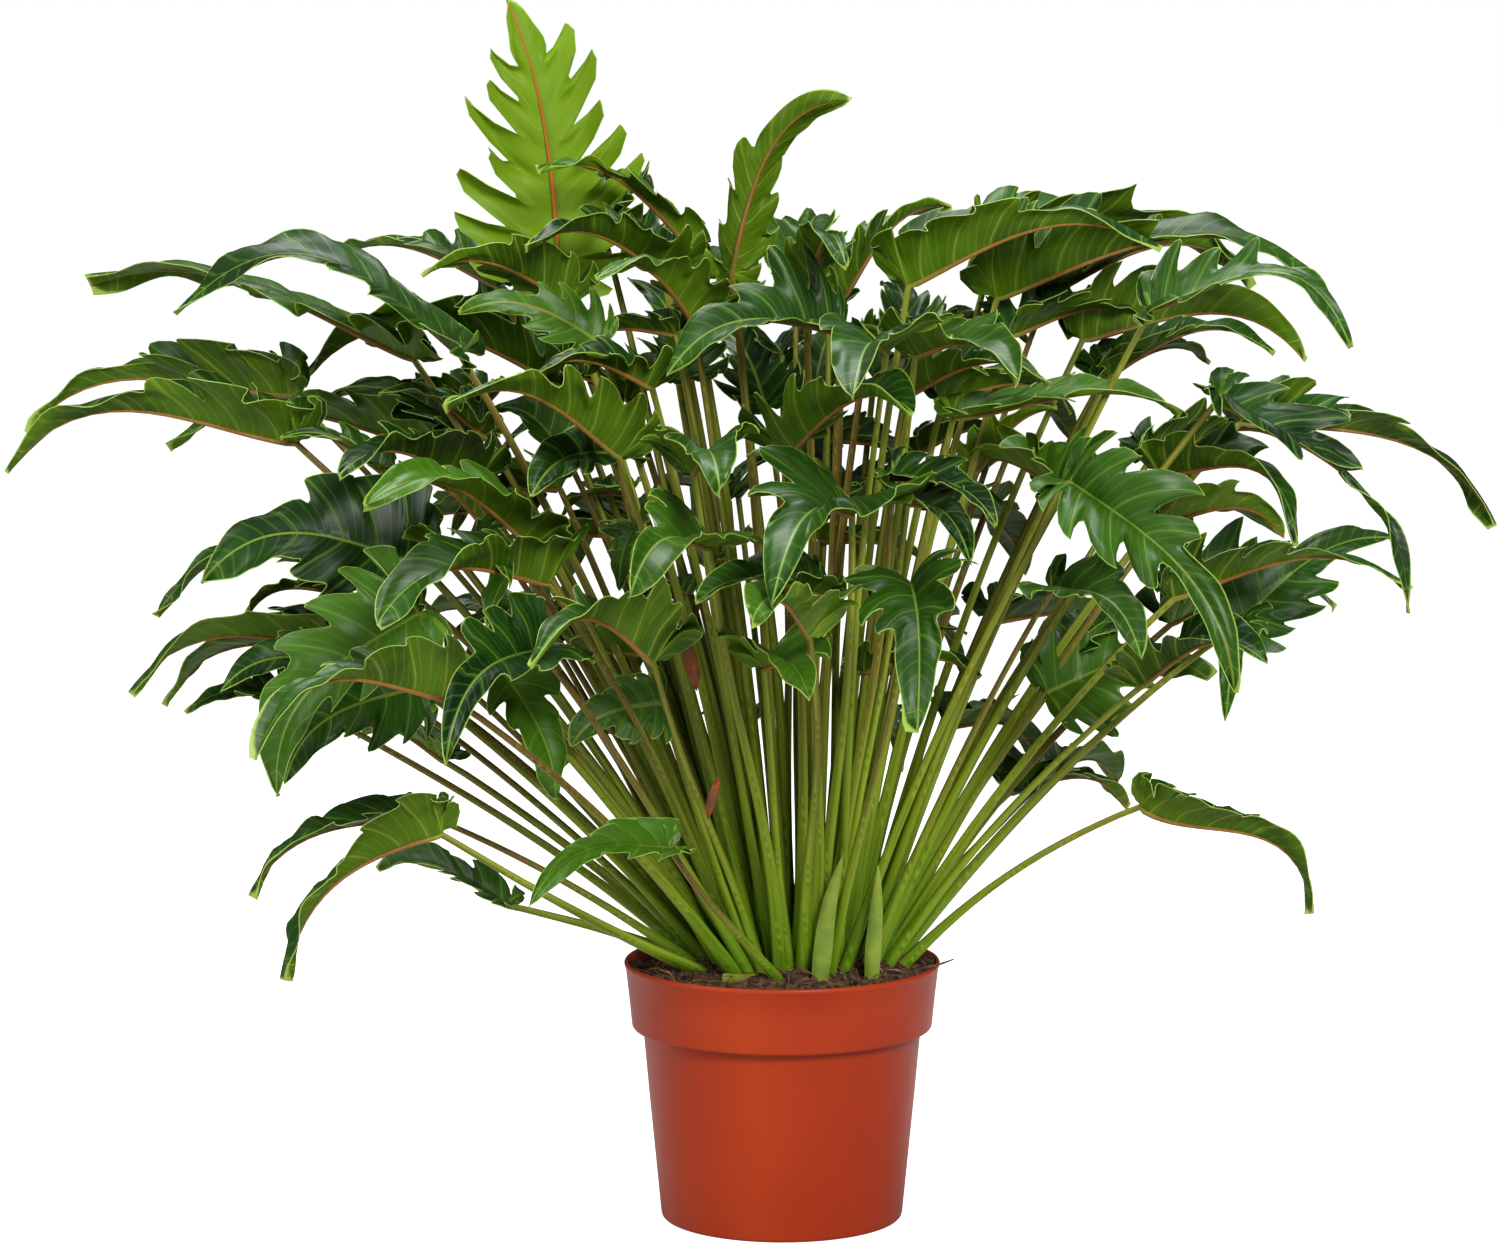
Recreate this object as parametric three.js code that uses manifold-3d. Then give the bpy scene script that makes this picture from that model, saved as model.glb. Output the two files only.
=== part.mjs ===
// Potted xanadu philodendron: a 21 cm plastic nursery pot, the peat in it and the leaves that grow from it.
// Millimetres, +Z up. The viewer stands on the -Y side. The origin is the centre of the pot's flat base.
import * as THREE from "three";
import { mergeVertices } from "three/addons/utils/BufferGeometryUtils.js";
import Module from "manifold-3d";

// Pot
const POT_HEIGHT = 173;
const RIM_RADIUS = 105;
const RIM_LIP = 3;
const COLLAR_FOOT_RADIUS = 100;
const COLLAR_FOOT_Z = 128.5;
const BODY_TOP_RADIUS = 92.5;
const BASE_RADIUS = 80.7;
const WALL = 1.6;
const FLOOR = 2;
const POT_SIDES = 48;
const DRAIN_HOLES = 8;
const DRAIN_RADIUS = 5;
const DRAIN_CIRCLE = 62;

// Peat
const SOIL_TOP = 168;
const SOIL_EDGE_DROP = 2.5;
const SOIL_SIDES = 40;
const GAP = 0.3;

// Crown: where the petioles stand on the peat
const CROWN_X = 14;
const CROWN_Y = -8;
const CROWN_SPREAD = 80;
const HALF_LEAN = 0.5;

// Petioles
const PETIOLE_FOOT = 3.9;
const PETIOLE_TOP = 2.3;
const PETIOLE_SIDES = 5;
const PETIOLE_STEPS = 4;

// Blades
const BLADE_THICK = 1.2;
const MIDRIB_RUN = 0.1;

// The eye that the leaf places were read from: x and z are those seen against the plane through the pot's axis
const EYE = new THREE.Vector3(0, -3000, 755);

// Half outline of a blade, base to tip: foot on the midrib, angle from it, reach; lengths in blade lengths
const OUTLINE = [
  [0, 152, 0.1],
  [0, 126, 0.25],
  [0, 104, 0.19],
  [0, 86, 0.33],
  [0.03, 76, 0.21],
  [0.08, 65, 0.38],
  [0.16, 59, 0.22],
  [0.25, 54, 0.38],
  [0.36, 50, 0.2],
  [0.48, 45, 0.31],
  [0.63, 38, 0.15],
  [1, 0, 0],
];

// Leaves: junction x, z, depth; tip x, z, depth; arch %, hook %, roll (upper face to the viewer), fold,
// width %, petiole bow, turn of the foot round the crown
const LEAVES = {
  leaf_left_01: [-319, 517, -10, -511, 498, -20, 6, 12, 0, 60, 80, 8, -10],
  leaf_left_02: [-323, 549, 40, -497, 524, 50, 5, 10, 0, 62, 62, 8, -12],
  leaf_left_03: [-241, 572, 10, -453, 620, 15, 4, 8, -5, 10, 110, 6, -4],
  leaf_left_04: [-211, 576, -50, -397, 601, -80, 16, 12, 8, 8, 90, 6, 4],
  leaf_left_05: [-187, 620, 70, -298, 634, 150, 8, 6, 10, 50, 65, 6, 0],
  leaf_left_06: [-140, 609, -30, -236, 627, -110, 8, 6, -30, 30, 80, 4, 0],
  leaf_left_07: [-120, 583, -80, -212, 602, -100, 10, 6, 55, 12, 100, 4, 0],
  leaf_left_08: [-85, 553, -100, -162, 563, -155, 8, 6, 0, 50, 110, 3, 8],
  leaf_left_09: [-107, 508, -120, -221, 538, -230, 8, 8, 0, 50, 80, 4, 0],
  leaf_left_10: [-205, 487, -30, -292, 496, -150, 8, 6, 0, 50, 90, 6, 0],
  leaf_left_11: [-165, 449, -110, -275, 475, -220, 10, 8, 10, 45, 85, 6, 0],
  leaf_left_12: [-239, 436, -70, -384, 425, -100, 10, 10, 55, 18, 120, 8, 4],
  leaf_left_13: [-262, 433, 40, -414, 403, 60, 8, 10, 10, 30, 70, 8, -22],
  leaf_left_14: [-154, 424, -140, -268, 397, -260, 8, 8, -10, 50, 95, 6, 0],
  leaf_left_15: [-240, 404, -130, -335, 282, -155, 10, 8, 50, 35, 115, 8, 4],
  leaf_left_16: [-262, 372, 0, -433, 352, -10, 8, 10, 0, 40, 100, 8, 0],
  leaf_left_17: [-217, 347, -195, -350, 307, -285, 10, 14, -10, 50, 95, 8, 4],
  leaf_left_18: [-160, 380, -180, -223, 303, -290, 12, 8, 40, 40, 100, 6, 6],
  leaf_left_19: [-85, 371, -170, -166, 368, -290, 12, 10, -10, 50, 110, 4, 0],
  leaf_left_20: [-223, 306, 30, -281, 322, 90, 6, 8, -20, 45, 80, 6, 0],
  leaf_left_21: [-234, 269, -60, -354, 215, -110, 8, 8, 0, 30, 80, 6, 0],
  leaf_left_22: [-226, 257, -120, -330, 158, -170, 14, 5, -30, 35, 80, -4, 0],
  leaf_left_23: [-75, 248, -200, -168, 209, -290, 8, 8, 40, 40, 48, 2, 12],
  leaf_top_01: [-146, 634, 20, -180, 806, 10, 3, 2, -85, 10, 112, 3, 0],
  leaf_top_02: [-78, 628, 0, -168, 643, -110, 8, 6, 10, 50, 90, 3, 0],
  leaf_top_03: [-62, 648, 36, -160, 695, -60, 8, 6, 0, 50, 40, 2, 0],
  leaf_top_04: [-33, 628, -10, 44, 741, -75, 14, 8, -45, 48, 58, 2, 0],
  leaf_top_05: [9, 622, 60, 25, 660, 170, 8, 8, 0, 50, 90, 2, 0],
  leaf_top_06: [39, 612, 40, 110, 672, 90, 8, 8, -20, 45, 110, 2, 0],
  leaf_top_07: [82, 620, -50, 247, 644, -80, 8, 8, 0, 62, 85, 3, 0],
  leaf_top_08: [136, 638, 80, 306, 619, 120, 10, 10, 0, 50, 90, 3, 0],
  leaf_centre_01: [15, 612, 0, 42, 632, -110, 12, 14, 0, 45, 85, 2, 0],
  leaf_centre_02: [38, 590, -60, -76, 561, -130, 10, 8, 30, 40, 130, 2, 0],
  leaf_centre_03: [68, 576, -160, 46, 546, -310, 8, 6, 0, 40, 95, 2, 22],
  leaf_centre_04: [87, 574, -90, 153, 556, -210, 8, 6, 0, 45, 90, 2, 0],
  leaf_centre_05: [3, 508, -110, 86, 538, -235, 8, 6, -10, 50, 90, 2, 0],
  leaf_centre_06: [-58, 497, -140, -41, 487, -280, 8, 6, 0, 45, 90, 2, 0],
  leaf_centre_07: [-48, 448, -180, -100, 417, -310, 8, 8, 20, 40, 95, 2, 0],
  leaf_centre_08: [46, 470, -150, -7, 410, -320, 10, 8, 10, 35, 105, 2, 0],
  leaf_centre_09: [18, 388, -200, -20, 400, -330, 8, 6, 0, 50, 90, 2, 0],
  leaf_centre_10: [85, 425, -190, 89, 325, -300, 12, 6, 20, 35, 100, 2, 0],
  leaf_right_01: [140, 612, 10, 350, 626, 0, 8, 8, 0, 50, 85, 4, 0],
  leaf_right_02: [241, 605, -60, 372, 580, -100, 14, 16, 25, 25, 100, 5, 0],
  leaf_right_03: [196, 585, 60, 342, 571, 90, 8, 10, -20, 65, 90, 5, 0],
  leaf_right_04: [285, 545, -70, 412, 405, -110, 10, 8, 18, 30, 70, 8, -8],
  leaf_right_05: [300, 531, 50, 469, 463, 60, 8, 8, 0, 45, 75, 8, -4],
  leaf_right_06: [247, 496, -20, 340, 450, -100, 12, 16, 0, 50, 90, 8, 22],
  leaf_right_07: [189, 492, -150, 299, 352, -215, 8, 6, 50, 35, 88, 6, -16],
  leaf_right_08: [258, 415, -20, 414, 421, -30, 8, 8, 0, 50, 90, 8, 0],
  leaf_right_09: [256, 398, 60, 364, 408, 150, 8, 8, 0, 50, 90, 8, 0],
  leaf_right_10: [236, 356, -90, 320, 372, -190, 8, 8, 0, 50, 85, 8, -4],
  leaf_right_11: [177, 420, -120, 237, 375, -215, 10, 8, 30, 40, 90, 6, 0],
  leaf_right_12: [237, 276, -80, 352, 204, -120, -2, 22, -10, 50, 80, 12, 0],
  leaf_right_13: [165, 286, 80, 222, 291, 190, 8, 8, 0, 50, 85, 6, 0],
};

const wasm = await Module();
wasm.setup();

const rad = THREE.MathUtils.degToRad;

// Manifold solid of a geometry, whose equal corners are joined first.
function solidOf(geometry) {
  const bare = geometry.clone();
  bare.deleteAttribute("normal");
  bare.deleteAttribute("uv");
  const merged = mergeVertices(bare, 1e-4);
  const mesh = new wasm.Mesh({
    numProp: 3,
    vertProperties: merged.attributes.position.array,
    triVerts: new Uint32Array(merged.index.array),
  });
  return new wasm.Manifold(mesh);
}

// Geometry of a manifold solid, flat shaded.
function geometryOf(solid) {
  const mesh = solid.getMesh();
  const geometry = new THREE.BufferGeometry();
  const stride = mesh.numProp;
  const corners = new Float32Array(mesh.numVert * 3);
  for (let i = 0; i < mesh.numVert; i += 1) {
    corners.set(mesh.vertProperties.subarray(i * stride, i * stride + 3), i * 3);
  }
  geometry.setAttribute("position", new THREE.BufferAttribute(corners, 3));
  geometry.setIndex(new THREE.BufferAttribute(mesh.triVerts, 1));
  const flat = geometry.toNonIndexed();
  flat.computeVertexNormals();
  return flat;
}

// Closed body of revolution about Z from an outline of [radius, z], walked so that the faces point outward.
function turned(outline, sides) {
  const lathe = new THREE.LatheGeometry(
    outline.map(([r, z]) => new THREE.Vector2(r, z)),
    sides,
  );
  lathe.rotateX(Math.PI / 2);
  return lathe;
}

// World point that the eye sees at (x, z) on the axis plane, brought to the given depth along the sight line.
function seenAt(x, z, depth) {
  const share = (depth - EYE.y) / -EYE.y;
  return new THREE.Vector3(x, 0, z).sub(EYE).multiplyScalar(share).add(EYE);
}

// Tube of the given radii round a line of points. Where it rises, its first ring is cut level.
function tube(points, radii, sides) {
  const rings = [];
  let across = new THREE.Vector3(0, 1, 0);
  for (let i = 0; i < points.length; i += 1) {
    const before = points[Math.max(i - 1, 0)];
    const after = points[Math.min(i + 1, points.length - 1)];
    const along = after.clone().sub(before).normalize();
    across = across.clone().addScaledVector(along, -across.dot(along)).normalize();
    const third = along.clone().cross(across);
    const ring = [];
    for (let k = 0; k < sides; k += 1) {
      const turn = (2 * Math.PI * k) / sides;
      const corner = points[i].clone();
      corner.addScaledVector(across, radii[i] * Math.cos(turn));
      corner.addScaledVector(third, radii[i] * Math.sin(turn));
      if (i === 0 && along.z > 0.2) {
        corner.addScaledVector(along, (points[0].z - corner.z) / along.z);
      }
      ring.push(corner);
    }
    rings.push(ring);
  }
  const corners = rings.flat();
  const last = (points.length - 1) * sides;
  const faces = [];
  for (let i = 0; i < points.length - 1; i += 1) {
    for (let k = 0; k < sides; k += 1) {
      const next = (k + 1) % sides;
      const a = i * sides + k;
      const b = i * sides + next;
      faces.push(a, b, b + sides, a, b + sides, a + sides);
    }
  }
  for (let k = 1; k < sides - 1; k += 1) {
    faces.push(0, k + 1, k, last, last + k, last + k + 1);
  }
  return closedMesh(corners, faces);
}

// Indexed geometry from points and face corners.
function closedMesh(corners, faces) {
  const geometry = new THREE.BufferGeometry();
  geometry.setFromPoints(corners);
  geometry.setIndex(faces);
  return geometry;
}

// Closed sheet: an open surface given a thickness, half of it on each side.
function thickened(corners, faces, thickness) {
  const open = closedMesh(corners, faces);
  open.computeVertexNormals();
  const normals = open.attributes.normal;
  const shift = (sign) =>
    corners.map((corner, i) => {
      const normal = new THREE.Vector3().fromBufferAttribute(normals, i);
      return corner.clone().addScaledVector(normal, (sign * thickness) / 2);
    });
  const count = corners.length;
  const all = [...faces];
  const edges = new Set();
  for (let i = 0; i < faces.length; i += 3) {
    const [a, b, c] = faces.slice(i, i + 3);
    all.push(a + count, c + count, b + count);
    edges.add(`${a},${b}`).add(`${b},${c}`).add(`${c},${a}`);
  }
  for (const edge of edges) {
    const [a, b] = edge.split(",").map(Number);
    if (!edges.has(`${b},${a}`)) {
      all.push(b, a, a + count, b, a + count, b + count);
    }
  }
  return closedMesh([...shift(1), ...shift(-1)], all);
}

// One leaf: where it stands, its petiole's line, and its blade.
class Leaf {
  constructor(row) {
    const [jx, jz, jy, tx, tz, ty, arch, hook, roll, fold, width, bow, turn] = row;
    this.junction = seenAt(jx, jz, jy);
    this.tip = seenAt(tx, tz, ty);
    this.arch = arch / 100;
    this.hook = hook / 100;
    this.roll = rad(roll);
    this.fold = rad(fold);
    this.width = width / 100;
    this.bow = rad(bow);
    this.turn = rad(turn);
    this.chord = this.tip.clone().sub(this.junction);
    this.length = this.chord.length();
    this.chord.normalize();
    this.level = this.unrolledFace();
    const side = this.chord.clone().cross(this.level);
    const sign = side.y > 0.2 ? -1 : 1;
    this.face = this.level.clone().multiplyScalar(Math.cos(this.roll));
    this.face.addScaledVector(side, sign * Math.sin(this.roll));
  }

  // Direction of the upper face of a blade with no roll: up where it lies level, inward where it stands.
  unrolledFace() {
    const c = this.chord;
    const outward = new THREE.Vector3(c.x, c.y, 0);
    outward.x += 0.15 * Math.sign(this.junction.x - CROWN_X);
    outward.normalize();
    const level = new THREE.Vector3(0, 0, Math.sqrt(1 - c.z * c.z));
    level.addScaledVector(outward, -c.z);
    return level.addScaledVector(c, -level.dot(c)).normalize();
  }

  // Foot of the petiole on the peat: the more a leaf leans out, the further out it stands.
  foot() {
    const dx = this.junction.x - CROWN_X;
    const dy = this.junction.y - CROWN_Y;
    const lean = Math.hypot(dx, dy) / (this.junction.z - SOIL_TOP);
    const reach = (CROWN_SPREAD * lean) / (lean + HALF_LEAN);
    const bearing = Math.atan2(dy, dx) + this.turn;
    return new THREE.Vector3(
      CROWN_X + reach * Math.cos(bearing),
      CROWN_Y + reach * Math.sin(bearing),
      SOIL_TOP + GAP,
    );
  }

  // Point of the midrib at share u from junction to tip.
  midrib(u) {
    const rise = this.arch * 4 * u * (1 - u) + this.hook * 6.75 * u * u * (1 - u);
    return this.junction
      .clone()
      .addScaledVector(this.chord, this.length * u)
      .addScaledVector(this.level, this.length * rise);
  }

  // Petiole from the peat into the foot of the midrib.
  petiole() {
    const foot = this.foot();
    const run = this.junction.clone().sub(foot);
    const length = run.length();
    const flat = new THREE.Vector3(run.x, run.y, 0).normalize();
    const slope = Math.asin(run.z / length);
    const aim = (angle) =>
      flat.clone().multiplyScalar(Math.cos(angle)).setZ(Math.sin(angle));
    const path = new THREE.CubicBezierCurve3(
      foot,
      foot.clone().addScaledVector(aim(slope + this.bow), length * 0.36),
      this.junction.clone().addScaledVector(aim(slope - this.bow), -length * 0.36),
      this.junction,
    );
    const points = path.getPoints(PETIOLE_STEPS);
    const radii = points.map((_, i) =>
      THREE.MathUtils.lerp(PETIOLE_FOOT, PETIOLE_TOP, i / PETIOLE_STEPS),
    );
    points.push(this.midrib(MIDRIB_RUN));
    radii.push(PETIOLE_TOP * 0.6);
    return tube(points, radii, PETIOLE_SIDES);
  }

  // Blade: two lobed halves that rise from the midrib as a trough and flatten towards the tip.
  blade() {
    const corners = [];
    const faces = [];
    const known = new Map();
    const put = (key, point) => {
      if (!known.has(key)) {
        known.set(key, corners.length);
        corners.push(point);
      }
      return known.get(key);
    };
    for (const side of [1, -1]) {
      const rows = OUTLINE.map(([u, angle, reach], i) => {
        const foot = this.midrib(u);
        const ahead = this.midrib(Math.min(u + 0.02, 1)).sub(this.midrib(Math.max(u - 0.02, 0))).normalize();
        const beside = ahead.clone().cross(this.face).normalize();
        const up = beside.clone().cross(ahead);
        const fold = this.fold * (1 - 0.75 * u);
        const point = foot.clone();
        const out = reach * this.length * Math.sin(rad(angle)) * this.width;
        point.addScaledVector(ahead, reach * this.length * Math.cos(rad(angle)));
        point.addScaledVector(beside, side * out * Math.cos(fold));
        point.addScaledVector(up, out * Math.sin(fold));
        const last = i === OUTLINE.length - 1;
        return [put(`m${u}`, foot), last ? put(`m${u}`, foot) : put(`${side},${i}`, point)];
      });
      for (let i = 0; i < rows.length - 1; i += 1) {
        const [a, b] = rows[i];
        const [c, d] = rows[i + 1];
        for (const face of [
          [a, b, d],
          [a, d, c],
        ]) {
          if (new Set(face).size === 3) {
            faces.push(...(side > 0 ? face : [face[0], face[2], face[1]]));
          }
        }
      }
    }
    return thickened(corners, faces, BLADE_THICK);
  }

  solid() {
    return solidOf(this.petiole()).add(solidOf(this.blade()));
  }
}

function potSolid() {
  const outer = [
    [0, 0],
    [BASE_RADIUS - 2.6, 0],
    [BASE_RADIUS - 0.8, 0.9],
    [BASE_RADIUS, 3],
    [BODY_TOP_RADIUS, COLLAR_FOOT_Z - 1],
    [BODY_TOP_RADIUS + 1, COLLAR_FOOT_Z],
    [COLLAR_FOOT_RADIUS - 1.4, COLLAR_FOOT_Z],
    [COLLAR_FOOT_RADIUS - 0.3, COLLAR_FOOT_Z + 0.6],
    [COLLAR_FOOT_RADIUS, COLLAR_FOOT_Z + 1.8],
    [RIM_RADIUS - 0.9, POT_HEIGHT - RIM_LIP - 0.6],
    [RIM_RADIUS, POT_HEIGHT - RIM_LIP + 0.4],
    [RIM_RADIUS, POT_HEIGHT - 0.8],
    [RIM_RADIUS - 0.8, POT_HEIGHT],
  ];
  const inner = [
    [RIM_RADIUS - 2, POT_HEIGHT],
    [RIM_RADIUS - 2.6, POT_HEIGHT - 0.8],
    [COLLAR_FOOT_RADIUS - WALL, COLLAR_FOOT_Z + WALL + 1],
    [COLLAR_FOOT_RADIUS - WALL - 1.2, COLLAR_FOOT_Z + WALL],
    [BODY_TOP_RADIUS - WALL, COLLAR_FOOT_Z - 0.6],
    [BASE_RADIUS - WALL, FLOOR + 1.6],
    [BASE_RADIUS - WALL - 1.6, FLOOR],
    [0, FLOOR],
  ];
  let pot = solidOf(turned([...outer, ...inner], POT_SIDES));
  for (let i = 0; i < DRAIN_HOLES; i += 1) {
    const bearing = (2 * Math.PI * (i + 0.5)) / DRAIN_HOLES;
    const hole = new THREE.CylinderGeometry(DRAIN_RADIUS, DRAIN_RADIUS, 3 * FLOOR, 12);
    hole.rotateX(Math.PI / 2);
    hole.translate(DRAIN_CIRCLE * Math.cos(bearing), DRAIN_CIRCLE * Math.sin(bearing), 0);
    pot = pot.subtract(solidOf(hole));
  }
  return pot;
}

function soilSolid() {
  const edge = RIM_RADIUS - 3.2;
  const outline = [
    [0, FLOOR + GAP],
    [BASE_RADIUS - WALL - 2.2, FLOOR + GAP],
    [BASE_RADIUS - WALL - GAP, FLOOR + 1.8],
    [BODY_TOP_RADIUS - WALL - GAP - 0.2, COLLAR_FOOT_Z - 1],
    [BODY_TOP_RADIUS - WALL - GAP, COLLAR_FOOT_Z + WALL + 0.6],
    [COLLAR_FOOT_RADIUS - WALL - 1.6, COLLAR_FOOT_Z + WALL + 1.6],
    [edge - 0.7, SOIL_TOP - SOIL_EDGE_DROP],
    [edge - 8, SOIL_TOP],
    [0, SOIL_TOP],
  ];
  return solidOf(turned(outline, SOIL_SIDES));
}

// Small things on the peat: points of a line, radius at each, number of sides
const DEBRIS = {
  cut_stub: [
    [
      [-38, -62, 172],
      [-25, -66, 172.4],
      [-12, -70, 173.4],
    ],
    [3.6, 3.6, 3.3],
    8,
  ],
  twig: [
    [
      [80, -34, SOIL_TOP + GAP],
      [92, -33, 173.2],
      [103, -32, 175.6],
      [113, -31, 179],
    ],
    [1, 0.9, 0.8, 0.6],
    5,
  ],
  sheath_left: [
    [
      [24, -80, SOIL_TOP + GAP],
      [26, -81, 190],
      [30, -83, 222],
      [36, -86, 246],
      [39, -87, 257],
    ],
    [4.5, 5.5, 5, 2.6, 0.5],
    8,
  ],
  sheath_right: [
    [
      [58, -70, SOIL_TOP + GAP],
      [59, -72, 190],
      [61, -75, 218],
      [62, -77, 238],
      [62, -78, 250],
    ],
    [4, 5, 4.4, 2.2, 0.5],
    8,
  ],
};

function debrisSolid([points, radii, sides]) {
  return solidOf(
    tube(
      points.map((p) => new THREE.Vector3(...p)),
      radii,
      sides,
    ),
  );
}

const PAINT = {
  stub: { color: 0x9aa648, roughness: 0.55, metalness: 0 },
  twig: { color: 0x5a4230, roughness: 0.8, metalness: 0 },
  sheath: { color: 0xb9c47a, roughness: 0.5, metalness: 0 },
  pot: { color: 0xb2492a, roughness: 0.42, metalness: 0 },
  soil: { color: 0x3a2a20, roughness: 0.95, metalness: 0 },
  leaf: { color: 0x2f6b2a, roughness: 0.45, metalness: 0 },
};

const philodendron = new THREE.Group();
philodendron.name = "potted_xanadu_philodendron";

function addNode(name, solid, paint) {
  const mesh = new THREE.Mesh(geometryOf(solid), new THREE.MeshStandardMaterial(PAINT[paint]));
  mesh.name = name;
  philodendron.add(mesh);
}

addNode("pot", potSolid(), "pot");
addNode("soil", soilSolid(), "soil");
for (const [name, row] of Object.entries(LEAVES)) {
  addNode(name, new Leaf(row).solid(), "leaf");
}
addNode("cut_stub", debrisSolid(DEBRIS.cut_stub), "stub");
addNode("twig", debrisSolid(DEBRIS.twig), "twig");
addNode("sheath_left", debrisSolid(DEBRIS.sheath_left), "sheath");
addNode("sheath_right", debrisSolid(DEBRIS.sheath_right), "sheath");

export default philodendron;
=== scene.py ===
"""Looks of a potted xanadu philodendron: its pot, its peat, its leaves and the studio round them."""
import logging
import math
import random
from collections.abc import Callable, Iterable, Sequence
from dataclasses import dataclass, field, replace
from enum import Enum

import bmesh
import bpy
from mathutils import Matrix, Vector, noise


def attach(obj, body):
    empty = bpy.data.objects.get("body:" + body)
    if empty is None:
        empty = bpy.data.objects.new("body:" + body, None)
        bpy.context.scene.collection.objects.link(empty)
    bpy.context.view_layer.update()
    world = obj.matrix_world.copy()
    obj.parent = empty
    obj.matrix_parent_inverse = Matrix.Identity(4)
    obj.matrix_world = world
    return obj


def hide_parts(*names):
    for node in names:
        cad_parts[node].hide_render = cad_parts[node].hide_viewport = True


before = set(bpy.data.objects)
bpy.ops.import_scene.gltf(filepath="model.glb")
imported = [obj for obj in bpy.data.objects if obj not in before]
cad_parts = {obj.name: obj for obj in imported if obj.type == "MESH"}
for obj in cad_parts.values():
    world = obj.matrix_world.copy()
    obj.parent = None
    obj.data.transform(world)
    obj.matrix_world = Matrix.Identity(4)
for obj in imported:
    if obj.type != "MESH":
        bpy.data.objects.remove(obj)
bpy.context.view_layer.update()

log = logging.getLogger("philodendron")

MM = 0.001
IMAGE_SIZE = (1500, 1243)
EYE = Vector((0.0, -3.0, 0.755))
AIM = Vector((-0.0213, 0.0, 0.3992))
LENS_MM = 109.9
SENSOR_MM = 36.0

SOIL_TOP = 168 * MM
CROWN_X = 14
CROWN = Vector((CROWN_X * MM, -8 * MM, SOIL_TOP))
CROWN_SPREAD = 80 * MM
HALF_LEAN = 0.5


class Tone(Enum):
    """Age of a leaf, as the share of young yellow-green in its colour."""

    OLD = 0.0
    GROWN = 0.15
    FRESH = 0.4
    YOUNG = 1.0


@dataclass(frozen=True)
class LeafPlace:
    """Where one leaf is seen and how it is bent.

    Junction and tip are millimetres on the plane through the pot's axis, with the depth along the
    sight line as the third number. Arch, hook and width are percent, the angles degrees.
    """

    junction_x: float
    junction_z: float
    junction_depth: float
    tip_x: float
    tip_z: float
    tip_depth: float
    arch: float = 8
    hook: float = 8
    roll: float = 0
    fold: float = 50
    width: float = 90
    bow: float = 6
    turn: float = 0


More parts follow.
